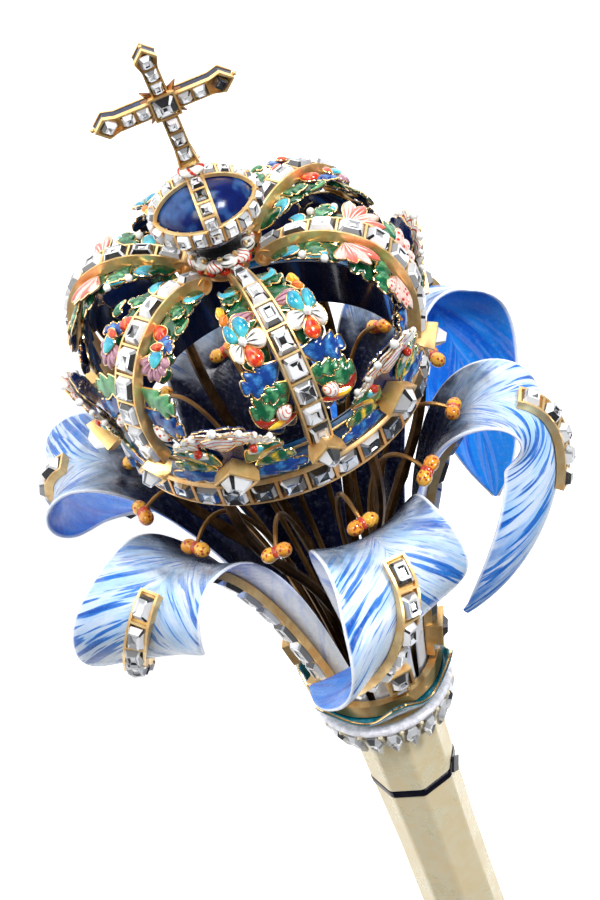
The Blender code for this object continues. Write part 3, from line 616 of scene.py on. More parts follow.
def ring4(centre, along, across, normal, halfA, halfB, up):
    signs = ((-1, -1), (1, -1), (1, 1), (-1, 1))
    return [centre + along * halfA * a + across * halfB * b + normal * up for a, b in signs]


def ring8(centre, axes, halfA, halfB, cut, up):
    along, across, normal = axes
    a, b = halfA - cut, halfB - cut
    low = ((-a, -halfB), (a, -halfB), (halfA, -b), (halfA, b))
    high = ((a, halfB), (-a, halfB), (-halfA, b), (-halfA, -b))
    return [centre + along * x + across * y + normal * up for x, y in (*low, *high)]


# a table-cut stone: girdle, bevels with clipped corners, and the pavilion that shows through its table; every
# facet carries a light, mid or dark tone that is painted reflection
def tableStone(shape, rng, centre, axes, halves, low, high, table=0.72, cut=0.24, shade=1.0, glint=1.0):
    axes = [np.asarray(axis, float) for axis in axes]
    a, b = halves
    tall = high - low
    small = min(a, b)
    # each ring of corners: scale, height and clip, then how many facets under it are painted as light or mid
    # reflections
    levels = (
        (1.0, low, cut, 0.1, 0.2),
        (1.0, low + tall * 0.3, cut, 0.1, 0.2),
        (table, high, cut * 1.1, 0.48, 0.25),
        (table * rng.uniform(0.62, 0.74), high - tall * 0.05, cut * 0.7, 0.74, 0.12),
        (table * rng.uniform(0.30, 0.42), high - tall * 0.16, 0.04, 0.5, 0.2),
    )
    slide = axes[0] * a * rng.uniform(-0.08, 0.08) + axes[1] * b * rng.uniform(-0.08, 0.08)
    rings = []
    for k, (scale, up, clip, _, _) in enumerate(levels):
        rings.append(ring8(centre + slide * (k > 2), axes, a * scale, b * scale, small * clip * scale, up))
    for k in range(len(rings) - 1):
        light, mid = levels[k + 1][3:]
        tones = [drawReflectionTone(rng, light * glint, mid * glint) for _ in range(8)]
        if k >= 2:
            tones = [tones[i // 4 * 4 + 2 * (i % 2)] for i in range(8)]
        for i in range(8):
            j = (i + 1) % 8
            corners = [rings[k][i], rings[k][j], rings[k + 1][j], rings[k + 1][i]]
            add(shape, corners, [[0, 1, 2, 3]], paint=np.array(tones[i]) * shade)
    first, last = drawReflectionTone(rng, 0.4 * glint, 0.3 * glint), drawReflectionTone(rng, 0.6 * glint, 0.2 * glint)
    add(shape, rings[-1], [[0, 1, 2, 3, 4]], paint=np.array(first) * shade)
    add(shape, rings[-1], [[0, 4, 5, 6, 7]], paint=np.array(last) * shade)
    add(shape, rings[0], [[7, 6, 5, 4, 3, 2, 1, 0]], paint=(0.1, 0.1, 0.1))


def frameAt(frames, t):
    x = min(max(t, 0.0), 1.0) * (len(frames) - 1)
    i = min(int(x), len(frames) - 2)
    f = x - i
    here, across, normal = (blend(p, q, f) for p, q in zip(frames[i], frames[i + 1]))
    return here, unit(across), unit(normal)


# a gold channel along frames, filled with table-cut stones between gold bars
def jewelRow(metal, stones, frames, count, halfOf, heights, rng, wall=0.32, bar=0.3, darkAt=()):
    base, floor, top, crown = heights

    def section(t):
        h = halfOf(t)
        outside = [(-h, base), (h, base), (h, top), (h - wall, top)]
        return outside + [(h - wall, floor), (-h + wall, floor), (-h + wall, top), (-h, top)]

    strip(metal, frames, section, paint=(1, 1, 1))
    lengths = np.cumsum([0.0] + [np.linalg.norm(q[0] - p[0]) for p, q in zip(frames, frames[1:])])
    total = lengths[-1]

    def at(distance):
        i = float(np.interp(distance, lengths, np.arange(len(lengths))))
        return frameAt(frames, i / (len(frames) - 1)), i / (len(frames) - 1)

    pitch = total / count
    for k in range(count + 1):
        (here, across, normal), t = at(min(max(k * pitch, 0.12), total - 0.12))
        along = unit(np.cross(across, normal))
        halves = (bar / 2, halfOf(t) - 0.05, (top - base) / 2 + 0.04)
        box(metal, here + normal * (base + top) / 2, (along, across, normal), halves, paint=(1, 1, 1))
    for k in range(count):
        (here, across, normal), t = at((k + 0.5) * pitch)
        along = unit(np.cross(across, normal))
        halves = (pitch / 2 - bar / 2 - 0.02, halfOf(t) - wall - 0.02)
        crownAt = crown + rng.uniform(-0.08, 0.1)
        shade = 0.03 if k in darkAt else 1.0
        tableStone(stones, rng, here, (along, across, normal), halves, floor - 0.05, crownAt, shade=shade)


# lily petals
petalForm = {
    "throat": (8.3, -61.0),
    "rise": 20.0,
    "flare": 3.4,
    "crestReach": 13.5,
    "throatHalf": 3.9,
    "tipHalf": 0.5,
    "thick": 1.0,
    "funnelShare": 0.52,
    "shear": 0.45,
    "ruffle": 0.06,
    "fillFull": 0.35,
    "fillFade": 0.2,
    "fillPower": 1.6,
    "rows": 84,
    "columns": 27,
}
openCurl = {
    "crest": (33.0, -7.8),
    "curlReach": 10.0,
    "bulge": (44.2, -23.0),
    "tip": (28.5, -34.5),
    "swirlDeg": -33.0,
    "swirlPower": 2.5,
    "crestHalf": 9.8,
    "curlHalf": 11.4,
    "taper": 3.2,
    "rollDeg": 38.0,
    "cup": 0.13,
    "droop": 0.05,
    "ribLast": 13 / 14,
    "ribStones": 7,
    "fill": 0.0,
}
furledCurl = {
    **openCurl,
    "crest": (31.2, -8.3),
    "curlReach": 14.8,
    "bulge": (38.6, -30.3),
    "tip": (27.1, -35.2),
    "swirlDeg": -36.0,
    "swirlPower": 2.7,
    "crestHalf": 8.5,
    "curlHalf": 8.0,
    "taper": 4.3,
    "rollDeg": -13.0,
    "cup": 0.1,
    "droop": 0.73,
    "ribLast": 11 / 14,
    "ribStones": 5,
}
broadCurl = {
    **openCurl,
    "crest": (32.0, -8.1),
    "curlReach": 10.2,
    "bulge": (36.1, -16.0),
    "tip": (28.7, -41.4),
    "swirlDeg": -28.0,
    "crestHalf": 8.5,
    "curlHalf": 11.8,
    "taper": 7.9,
    "rollDeg": 46.0,
    "droop": 0.24,
}
# the petal at the back fills the funnel between its neighbours
wideCurl = {**openCurl, "cup": 0.0, "fill": 4.2}
petalCurls = [openCurl, furledCurl, broadCurl, wideCurl, openCurl, openCurl]


def petalSpine(curl, u):
    form = petalForm
    share = form["funnelShare"]
    tr, tz = form["throat"]
    cr, cz = curl["crest"]
    if u < share:
        points = ((tr, tz), (tr + form["flare"], tz + form["rise"]), (cr - form["crestReach"], cz), (cr, cz))
        r, z = bezier(points, u / share)
        return onRing(r, 0.0, z)
    t = (u - share) / (1.0 - share)
    r, z = bezier(((cr, cz), (cr + curl["curlReach"], cz), curl["bulge"], curl["tip"]), t)
    return onRing(r, curl["swirlDeg"] * t ** curl["swirlPower"], z)


def petalFrame(curl, u):
    small = 1e-3
    here = petalSpine(curl, u)
    along = unit(petalSpine(curl, min(u + small, 1.0)) - petalSpine(curl, max(u - small, 0.0)))
    azimuth = math.atan2(here[1], here[0])
    tangent = np.array([-math.sin(azimuth), math.cos(azimuth), 0.0])
    across = unit(tangent - along * np.dot(tangent, along) * petalForm["shear"])
    normal = unit(np.cross(along, across))
    share = petalForm["funnelShare"]
    roll = math.radians(curl["rollDeg"]) * float(smooth((u - share) / (1.0 - share) / 0.7))
    rolled = across * math.cos(roll) - normal * math.sin(roll)
    return here, rolled, normal * math.cos(roll) + across * math.sin(roll)


def petalHalf(curl, u):
    form = petalForm
    share = form["funnelShare"]
    crest = curl["crestHalf"]
    if u < share:
        swelling = float(smooth(u / form["fillFull"])) ** form["fillPower"]
        extra = curl["fill"] * swelling * float(smooth((share - u) / form["fillFade"]))
        return form["throatHalf"] + (crest - form["throatHalf"]) * float(smooth(u / share)) ** 0.9 + extra
    t = (u - share) / (1.0 - share)
    swell = crest + (curl["curlHalf"] - crest) * math.sin(math.pi * min(1.25 * t, 1.0))
    return max(form["tipHalf"], swell * (1.0 - t ** curl["taper"]) ** 0.8)


def petalRow(curl, u, v):
    form = petalForm
    here, across, normal = petalFrame(curl, u)
    half = petalHalf(curl, u)
    share = form["funnelShare"]
    funnel = 1.0 - float(smooth((u - share) / 0.2))
    cup = half / (2.0 * math.hypot(here[0], here[1])) * funnel
    crestCup = curl["cup"] * math.exp(-(((u - share) / 0.13) ** 2))
    bend = cup + crestCup - curl["droop"] * (1.0 - funnel)
    waves = form["ruffle"] * np.sin(9.0 * u + 1.2 * v) * float(smooth((u - 0.35) / 0.3))
    aside = half * v * (1.0 - 0.06 * v * v)
    up = half * v * v * (bend + waves)
    return here + np.outer(aside, across) + np.outer(up, normal)


# a closed plate about a grid of points, thinner at its rim
def shell(shape, grid, thick, cells, **looks):
    rows, columns = grid.shape[:2]
    du = np.gradient(grid, axis=0)
    dv = np.gradient(grid, axis=1)
    normals = unit(np.cross(du, dv))
    v = np.linspace(-1.0, 1.0, columns)
    body = thick / 2 * np.sqrt(np.clip(1.0 - np.abs(v) ** 6, 0.06, 1.0))[None, :, None]
    top = grid + normals * body
    under = grid - normals * body
    rings = np.concatenate([top, under[:, ::-1]], 1)
    side = np.concatenate([cells + (0, 0, 1.0), (cells - (0, 0, 1.0))[:, ::-1]], 1)
    add(shape, rings.reshape(-1, 3), loftFaces(rows, 2 * columns), cell=side.reshape(-1, 3), **looks)


def makePetals():
    form = petalForm
    u = np.linspace(0.0, 1.0, form["rows"])
    u = u**0.92
    v = np.sin(np.linspace(-math.pi / 2, math.pi / 2, form["columns"]))
    v = 0.5 * v + 0.5 * np.linspace(-1.0, 1.0, form["columns"])
    cells = np.stack(np.broadcast_arrays(u[:, None], v[None, :], np.zeros((len(u), len(v)))), -1)
    for k in range(fold):
        petal = newShape()
        grid = np.array([petalRow(petalCurls[k], a, v) for a in u])
        rng = np.random.default_rng(40 + k)
        wave = 0.25 * np.sin(5.0 * u + rng.uniform(0, 6))[:, None] * np.abs(v)[None, :] ** 3
        normals = unit(np.cross(np.gradient(grid, axis=0), np.gradient(grid, axis=1)))
        shell(petal, grid + normals * wave[:, :, None], form["thick"], cells, kind=3.7 * k + 1.3)
        turned = turnedShape(petal, azimuths["petal"] + stepDeg * k)
        build(f"lily_petal_{k + 1}", turned, lilyEnamel, [f"petal_{k + 1}"], 60)


# the jewelled rib on each petal's face, and the strap up each petal's back with its ring at the throat
ribForm = {"first": 8 / 14, "half": 1.75, "tall": 2.2, "samples": 40}
strapForm = {
    "last": 6 / 14,
    "half": 1.7,
    "tall": 2.1,
    "stones": 8,
    "samples": 34,
    "boxHalf": 2.5,
    "ring": [(10.95, -59.4), (11.0, -61.8), (9.6, -61.8), (9.6, -59.4)],
}


def petalStripFrames(curl, first, last, count, flip=1.0):
    frames = []
    for i in range(count + 1):
        here, across, normal = petalFrame(curl, first + (last - first) * i / count)
        frames.append((here, across, normal * flip))
    return frames


def makeRibs():
    face = petalForm["thick"] / 2 + 0.1
    form = ribForm

    def half(t):
        return form["half"] * (1.0 - 0.35 * float(smooth((t - 0.7) / 0.3)))

    for k in range(fold):
        metal, stones = newShape(), newShape()
        rng = random.Random(100 + k)
        curl = petalCurls[k]
        frames = petalStripFrames(curl, form["first"], curl["ribLast"], form["samples"])
        heights = (face, face + 0.7, face + 1.35, face + form["tall"])
        jewelRow(metal, stones, frames, curl["ribStones"], half, heights, rng, wall=0.42, bar=0.42)
        azimuth = azimuths["petal"] + stepDeg * k
        buildGold(f"petal_rib_setting_{k + 1}", turnedShape(metal, azimuth), f"petal_rib_{k + 1}")
        buildStones(f"petal_rib_stones_{k + 1}", turnedShape(stones, azimuth))


def makeStraps():
    face = petalForm["thick"] / 2 + 0.1
    form = strapForm
    metal, stones = newShape(), newShape()
    rng = random.Random(300)
    lathe(metal, form["ring"], 60, closed=True)
    for k in range(fold):
        one, gems = newShape(), newShape()
        frames = petalStripFrames(petalCurls[k], 0.02, form["last"], form["samples"], -1.0)
        heights = (face, face + 0.7, face + 1.3, face + form["tall"])
        jewelRow(one, gems, frames, form["stones"], lambda t: form["half"], heights, rng, wall=0.4, bar=0.36)
        here, across, normal = frameAt(frames, 0.10)
        along = unit(np.cross(across, normal))
        axes = (along, across, normal)
        settingBox(one, gems, rng, here + normal * (face + 0.3), axes, form["boxHalf"] * 0.92, 2.6)
        azimuth = azimuths["petal"] + stepDeg * k
        merge(metal, turnedShape(one, azimuth))
        merge(stones, turnedShape(gems, azimuth))
    buildGold("strap_settings", metal, "petal_straps")
    buildStones("strap_stones", stones)


# a square gold box that opens upwards around one stone
def settingBox(metal, stones, rng, base, axes, half, tall, flare=0.86, point=0.8, lip=0.5):
    along, across, normal = axes
    inner = 1.0 - lip / half
    wall = [(flare, 0.0), (0.94, tall * 0.45), (1.0, tall)]
    mouth = [(1.0 - 0.3 * lip / half, tall + 0.08), (inner, tall + 0.02), (inner, tall - 0.7)]
    rings = [ring4(base, along, across, normal, half * s, half * s, up) for s, up in wall + mouth]
    add(metal, np.concatenate(rings), loftFaces(len(rings), 4), paint=(1.0, 0.94, 0.86))
    reach = half - lip - 0.03
    tableStone(stones, rng, base, axes, (reach, reach), tall - 0.8, tall + point, table=0.5, cut=0.3)


makePetals()
makeRibs()
makeStraps()
print("petals made")


# stamens, rods and cup
stamenForm = {
    "count": 12,
    "foot": (5.7, -58.4),
    "rise": (7.4, -22.0),
    "arc": (16.0, 0.5),
    "anther": (25.5, -8.2),
    "wireRadius": 0.45,
    "lobe": 1.38,
    "apart": 1.22,
    "samples": 26,
}
antherColours = {
    "outer": (0.86, 0.34, 0.03),
    "glow": (0.92, 0.46, 0.05),
    "speck": (0.45, 0.05, 0.02),
    "join": (0.72, 0.07, 0.03),
}


def alongWire(form, end):
    points = (form["foot"], form["rise"], form["arc"], form[end])
    return [onRing(r, 0.0, z) for r, z in (bezier(points, t) for t in np.linspace(0, 1, form["samples"]))]


# two dotted lobes that lean apart from a small join
def anther(shape, rng, k):
    form = stamenForm
    r, z = form["anther"]
    tilt = rng.uniform(-0.35, 0.35)
    for side in (-1.0, 1.0):
        lean = np.array([0.12 * side, math.cos(tilt), math.sin(tilt)])
        first = unit(lean * side)
        aside = unit(np.cross(first, (0.0, 0.0, 1.0)))
        axes = np.array([aside, unit(np.cross(aside, first)), first])
        centre = np.array([r, 0.0, z]) + first * form["apart"]
        radii = (form["lobe"] * 0.86, form["lobe"] * 0.86, form["lobe"])
        colour = antherColours["glow"] if (k + (side > 0)) % 2 else antherColours["outer"]
        ball(shape, centre, radii, axes, 14, 18, paint=colour, accent=antherColours["speck"], kind="dots")
    ball(shape, np.array([r, 0.0, z]), (1.1, 1.0, 1.0), None, 10, 14, paint=antherColours["join"])


def makeStamens():
    form = stamenForm
    path = alongWire(form, "anther")
    radius = form["wireRadius"] * np.linspace(1.1, 0.75, len(path))
    for k in range(form["count"]):
        azimuth = azimuths["petal"] + 360.0 / form["count"] * k
        filament, lobes = newShape(), newShape()
        # the filament's gold is painted dark: painted shade inside the lily's funnel
        tube(filament, path, radius, 8, paint=(0.24, 0.17, 0.10))
        anther(lobes, np.random.default_rng(500 + k), k)
        name = f"{k + 1:02d}"
        buildGold(f"stamen_filament_{name}", turnedShape(filament, azimuth), f"stamen_{name}")
        build(f"stamen_anther_{name}", turnedShape(lobes, azimuth), enamel)


# the six rods that carry the crown, a collar on each, and the cup that they stand in; their gold is painted
# dark as painted shade inside the lily's funnel
rodForm = {
    "radius": 0.85,
    "foot": (3.6, -60.5),
    "rise": (4.0, -26.0),
    "arc": (21.6, -22.0),
    "head": (22.1, -0.3),
    "samples": 30,
    "collarAt": 0.55,
    "collarRise": 0.25,
    "cup": [(0.0, -59.4), (5.6, -59.4), (6.4, -59.7), (7.1, -60.6), (7.2, -61.6), (0.0, -61.6)],
}


def makeRods():
    form = rodForm
    metal = newShape()
    lathe(metal, form["cup"], 40, paint=(0.16, 0.11, 0.07))
    path = alongWire(form, "head")
    away = (np.linspace(0, 1, form["samples"]) - form["collarAt"]) / 0.03
    radius = form["radius"] * (1.0 + form["collarRise"] * np.exp(-(away**2)))
    for k in range(fold):
        turned = turnedBy(path, azimuths["rod"] + stepDeg * k)
        tube(metal, turned, radius, 8, paint=(0.06, 0.038, 0.022))
    buildGold("crown_carriers", metal, "crown_rods")


makeStamens()
makeRods()
print("stamens made")


# calyx, collar, shaft, knop and pommel
collarForm = {
    "stones": 20,
    "rimRadius": 11.9,
    "rimZ": -64.8,
    "footRadius": 8.3,
    "footZ": -72.5,
    "dropTop": -66.6,
    "dropTip": -72.9,
    # the enamelled lip and the cone under it, as (inside the rim, below it)
    "lip": [(1.6, 0.0), (0.5, 0.0), (0.1, 0.25), (0.0, 0.7), (0.2, 1.2), (0.6, 1.5), (1.6, 1.6)],
    "cone": [(1.5, 0.1), (1.5, 1.5), (0.7, 1.6), (0.8, 1.8), (1.3, 2.0), (2.0, 3.4)],
    # a drop stone's outline, as (share of its length, aside), and the (scale, height) of its facets
    "drop": [(0.0, 0.75), (0.28, 1.25), (0.45, 1.2), (1.0, 0.12)],
    "facets": [(1.0, 0.1), (1.0, 0.55), (0.55, 1.15), (0.2, 0.95)],
}
calyxForm = {
    "tipRadius": 13.6,
    "dipRadius": 11.9,
    "tipZ": -59.2,
    "floorZ": -62.2,
    "footRadius": 9.4,
    "footZ": -64.6,
    "insideRadius": 11.5,
    "sides": 144,
    "paint": (0.004, 0.14, 0.20),
    "accent": (0.012, 0.30, 0.38),
}


def calyxRing(tipRadius, dipRadius, tipZ, dipZ):
    azimuth = np.arange(calyxForm["sides"]) * 360.0 / calyxForm["sides"]
    point = np.abs(np.cos(np.radians(azimuth * fold / 2))) ** 2.5
    return onRing(dipRadius + (tipRadius - dipRadius) * point, azimuth, dipZ + (tipZ - dipZ) * point), point


def makeCalyx():
    form = calyxForm
    tipR, dipR, footR = form["tipRadius"], form["dipRadius"], form["footRadius"]
    tipZ, floorZ, footZ = form["tipZ"], form["floorZ"], form["footZ"]
    levels = [
        (footR, footR, footZ, footZ, "gold"),
        (footR + 1.2, footR + 1.0, footZ + 1.2, footZ + 0.8, "plain"),
        (tipR - 0.9, dipR - 0.2, tipZ - 1.9, floorZ - 1.0, "plain"),
        (tipR, dipR, tipZ, floorZ - 0.6, "plain"),
        (tipR - 0.25, dipR - 0.15, tipZ + 0.25, floorZ - 0.35, "gold"),
        (tipR - 0.8, dipR - 0.5, tipZ + 0.2, floorZ - 0.3, "plain"),
        (form["insideRadius"], dipR - 0.8, floorZ, floorZ, "plain"),
    ]
    leaves = newShape()
    rings, kinds, cells = [], [], []
    for *level, kind in levels:
        points, reach = calyxRing(*level)
        rings.append(points)
        kinds.append(np.full(len(points), brush[kind]))
        # cell z falls towards the dips between the leaf tips, where the glaze paints shade
        cells.append(np.stack([reach, 0 * reach, 0.3 + 0.7 * reach], -1))
    looks = {"paint": form["paint"], "accent": form["accent"]}
    looks.update(cell=np.concatenate(cells), kind=np.concatenate(kinds))
    add(leaves, np.concatenate(rings), loftFaces(len(rings), form["sides"]), **looks)
    build("calyx_leaves", turnedShape(leaves, azimuths["calyx"]), enamel, ["calyx"])


# one drop-shaped stone of the collar, point down, its facets painted with reflection tones
def dropStone(stones, rng, azimuth):
    form = collarForm
    upper = onRing(form["rimRadius"] - 0.9, azimuth, form["dropTop"])
    lower = onRing(form["footRadius"] + 0.3, azimuth, form["dropTip"])
    outward = upper * (1, 1, 0)
    down = unit(lower - upper)
    across = unit(np.cross((0.0, 0.0, 1.0), outward))
    normal = unit(np.cross(across, down))
    normal = normal * np.sign(np.dot(normal, outward))
    length = float(np.linalg.norm(lower - upper))
    right = form["drop"]
    left = [(x, -y) for x, y in right]
    outline = [left[0], *right, *left[:0:-1]]
    rings = []
    for scale, up in form["facets"]:
        middle = upper + normal * up
        spine = [middle + down * length * blend(0.42, x, scale) for x, _ in outline]
        rings.append([here + across * y * scale for here, (_, y) in zip(spine, outline)])
    count = len(outline)
    for low, high in zip(rings, rings[1:]):
        for a in range(count):
            b = (a + 1) % count
            add(stones, [low[a], low[b], high[b], high[a]], [[0, 1, 2, 3]], paint=drawReflectionTone(rng, 0.6, 0.3))
    add(stones, rings[-1], [list(range(count))], paint=drawReflectionTone(rng, 0.7, 0.2))
    add(stones, rings[0], [list(range(count))[::-1]], paint=(0.2, 0.2, 0.2))


# a claw between two stones, with a bead at its head
def collarClaw(metal, azimuth):
    form = collarForm
    rim, top = form["rimRadius"], form["rimZ"]
    steps = [(rim - 0.6, top - 1.6), (rim - 1.1, top - 3.0), (rim - 2.3, top - 4.8)]
    steps.append((form["footRadius"] + 0.35, form["footZ"] + 1.2))
    tube(metal, [onRing(r, azimuth, z) for r, z in steps], [0.3, 0.28, 0.24, 0.16], 6)
    ball(metal, onRing(rim - 0.35, azimuth, top - 1.55), (0.42, 0.42, 0.42), None, 7, 9)


def makeCollar():
    form = collarForm
    metal, stones, rimBand = newShape(), newShape(), newShape()
    top, rim = form["rimZ"], form["rimRadius"]
    lip = [(rim - inward, top - below) for inward, below in form["lip"]]
    cone = [(0.0, top - 0.1)] + [(rim - inward, top - below) for inward, below in form["cone"]]
    cone += [(form["footRadius"] + 0.25, form["footZ"] + 1.4), (form["footRadius"], form["footZ"])]
    cone.append((0.0, form["footZ"]))
    lathe(rimBand, lip, 96, closed=True, paint=(0.90, 0.89, 0.95), cell=wholeCell)
    lathe(metal, cone, 96)
    rng = random.Random(700)
    pitch = 360.0 / form["stones"]
    for k in range(form["stones"]):
        dropStone(stones, rng, pitch * (k + 0.5))
        collarClaw(metal, pitch * k)
    # the collar's setting takes that pale copy of the gold, whose paleness is partly painted light
    build("collar_setting", metal, paleGold, ["collar"])
    build("collar_rim", rimBand, enamel, (), 60)
    buildStones("collar_stones", stones)


shaftForm = {
    "facets": 8,
    "topZ": -72.6,
    "neckZ": -104.0,
    "midZ": -286.0,
    "endZ": -488.0,
    "topR": 7.8,
    "neckR": 6.9,
    "midR": 6.6,
    "endR": 6.3,
    "edge": 0.35,
    "rings": 60,
}
# the dark band round the upper sleeve, and the lozenge on it
bandForm = {
    "z": -86.4,
    "half": 0.9,
    "rise": 0.14,
    "ink": (0.004, 0.004, 0.014),
    "lozengeAt": (7.35, 62.0),
    "lozenge": (2.0, 1.7, 0.45),
}


# a regular polygon with small flats at its corners
def facetRing(radius, z, facets, edge):
    points = []
    for k in range(facets):
        corner = 360.0 / facets * k
        slide = math.degrees(edge / radius)
        for share, turn in ((0.994, -slide), (0.9985, 0.0), (0.994, slide)):
            points.append(onRing(radius * share, corner + turn, z))
    return np.array(points)


# one faceted sleeve through (z, radius) knots
def sleeve(name, knots, replaced):
    form = shaftForm
    zs, radii = zip(*knots[::-1])
    shape = newShape()
    levels = np.linspace(zs[-1], zs[0], form["rings"])
    rings = [facetRing(float(np.interp(z, zs, radii)), z, form["facets"], form["edge"]) for z in levels]
    add(shape, np.concatenate(rings), loftFaces(len(rings), 3 * form["facets"]))
    build(name, shape, paleGold, [replaced], 12)


def makeBand(knots):
    form = bandForm
    facets, edge = shaftForm["facets"], shaftForm["edge"]
    zs, radii = zip(*knots[::-1])
    hoop = newShape()
    rings = []
    for share, rise in ((1.0, 0.0), (0.7, form["rise"]), (-0.7, form["rise"]), (-1.0, 0.0)):
        z = form["z"] + form["half"] * share
        rings.append(facetRing(float(np.interp(z, zs, radii)) + rise, z, facets, edge))
    add(hoop, np.concatenate(rings), loftFaces(4, 3 * facets), paint=form["ink"])
    wide, tall, proud = form["lozenge"]
    mark = onRing(*form["lozengeAt"], form["z"])
    outward = unit(mark * (1, 1, 0))
    aside = np.array([-outward[1], outward[0], 0.0]) * wide
    up = np.array([0, 0, tall])
    lozenge = [mark + aside, mark + up, mark - aside, mark - up]
    add(hoop, lozenge + [p + outward * proud for p in lozenge], loftFaces(2, 4), paint=form["ink"])
    build("shaft_band", hoop, deepEnamel, (), 12)


def makeShaft():
    form = shaftForm
    half = knopForm["half"]
    top, neck, end = [(form[key + "Z"], form[key + "R"]) for key in ("top", "neck", "end")]
    upper = [top, neck, (form["midZ"] + half, form["midR"])]
    lower = [(form["midZ"] - half, form["midR"]), end]
    makeBand(upper)
    sleeve("shaft_upper_sleeve", upper, "shaft_upper")
    sleeve("shaft_lower_sleeve", lower, "shaft_lower")


# each half of the knop as (radius, above its middle), and its rows of beads
knopForm = {
    "half": 9.0,
    "radius": 10.6,
    "beads": 18,
    "bead": 0.55,
    "beadRing": (7.75, 6.95),
    "end": 8.9,
    "steps": [
        (7.2, 8.9), (7.8, 8.6), (7.8, 7.2), (7.3, 6.6), (6.9, 5.6), (7.3, 4.6),
        (8.6, 3.6), (9.7, 2.9), (10.0, 2.4), (9.5, 2.05), (9.5, 1.9), (10.25, 1.55),
    ],
}
# the pommel's neck as (radius, below the sleeve) and its foot as (radius, above the butt)
pommelForm = {
    "centreZ": -514.5,
    "radius": 13.0,
    "stretch": 1.15,
    "buttZ": -535.0,
    "lobes": 12,
    "lobeDepth": 0.055,
    "sides": 144,
    "sweepDeg": (56.0, -60.0, 26),
    "neck": [
        (0.0, 0.1), (7.4, 0.1), (7.9, 0.5), (8.2, 1.4), (8.15, 2.2),
        (7.3, 3.0), (6.9, 4.2), (6.5, 5.4), (6.5, 6.6),
    ],
    "foot": [(6.5, 3.4), (6.6, 2.9), (7.6, 2.2), (7.8, 1.5), (7.8, 0.7), (7.7, 0.0), (0.0, 0.0)],
}


def makeKnop():
    form = knopForm
    metal = newShape()
    middle = shaftForm["midZ"]
    upper = [(r, middle + up) for r, up in form["steps"]]
    lower = [(r, middle - up) for r, up in form["steps"][::-1]]
    ends = ((0.0, middle + form["end"]), (0.0, middle - form["end"]))
    lathe(metal, [ends[0], *upper, (form["radius"], middle), *lower, ends[1]], 80)
    radius, above = form["beadRing"]
    bead = (form["bead"],) * 3
    for k in range(form["beads"]):
        for side in (-1, 1):
            azimuth = 360.0 / form["beads"] * (k + 0.5 * (side > 0))
            ball(metal, onRing(radius, azimuth, middle + side * above), bead, None, 7, 9)
    build("shaft_knop_turned", metal, gold, ["shaft_knop"], 32)


def makePommel():
    form = pommelForm
    endZ = shaftForm["endZ"]
    azimuth = np.arange(form["sides"]) / form["sides"] * 360.0
    rings = [onRing(max(r, 0.02), azimuth, endZ - below) for r, below in form["neck"]]
    lobes = 1.0 - np.abs(np.sin(np.radians(azimuth * form["lobes"] / 2))) ** 0.7
    for swing in np.radians(np.linspace(*form["sweepDeg"])):
        z = form["centreZ"] + form["radius"] * form["stretch"] * math.sin(swing)
        ring = onRing(form["radius"] * math.cos(swing), azimuth, z)
        ring[:, :2] *= (1.0 - form["lobeDepth"] * math.cos(swing) ** 2 * lobes)[:, None]
        rings.append(ring)
    rings += [onRing(max(r, 0.02), azimuth, form["buttZ"] + above) for r, above in form["foot"]]
    metal = newShape()
    add(metal, np.concatenate(rings), loftFaces(len(rings), form["sides"]))
    build("pommel_gadrooned", metal, gold, ["pommel"], 32)


makeCalyx()
makeCollar()
makeShaft()
makeKnop()
makePommel()
print("shaft made")


# crown ring
ringForm = {"stones": 34, "out": 23.7, "in": 21.2, "wall": 23.1, "cove": 22.8, "sides": 180}
coveBlue = {"paint": (0.004, 0.035, 0.13), "accent": (0.01, 0.14, 0.36)}


# frame on the crown's wall: along the ring, upwards, outwards
def ringFrame(azimuthDeg, radius, z):
    outward = onRing(1.0, azimuthDeg, 0.0)
    along = np.array([-outward[1], outward[0], 0.0])
    return onRing(radius, azimuthDeg, z), (along, np.array([0.0, 0.0, 1.0]), outward)


# the gold channel that holds the row of stones, as (radius, z)
def ringChannel():
    out, inner, cove = ringForm["out"], ringForm["in"] + 0.3, ringForm["cove"]
    top = [(out + 0.12, 4.35), (out, 4.6), (cove + 0.3, 4.65), (inner, 4.5), (inner, 0.4)]
    foot = [(inner, 0.0), (out - 0.15, 0.0), (out + 0.05, 0.12), (out + 0.05, 0.42)]
    return top + foot + [(out - 0.7, 0.5), (out - 0.7, 3.55), (out - 0.1, 3.62), (out + 0.12, 3.75)]


# the blue cove over it, as (radius, z) and how far painted shade takes it towards the deeper blue, most at
# its top edge
def coveSteps():
    wall, cove, inner = ringForm["wall"], ringForm["cove"], ringForm["in"] + 0.25
    front = [(wall + 0.15, 8.35, 1.0), (wall - 0.05, 8.0, 0.7), (cove + 0.02, 6.6, 0.5)]
    foot = [(cove + 0.1, 5.2, 0.35), (cove + 0.55, 4.66, 0.2)]
    return front + foot + [(inner, 4.66, 0.1), (inner, 8.0, 0.1), (inner + 0.35, 8.38, 0.1)]


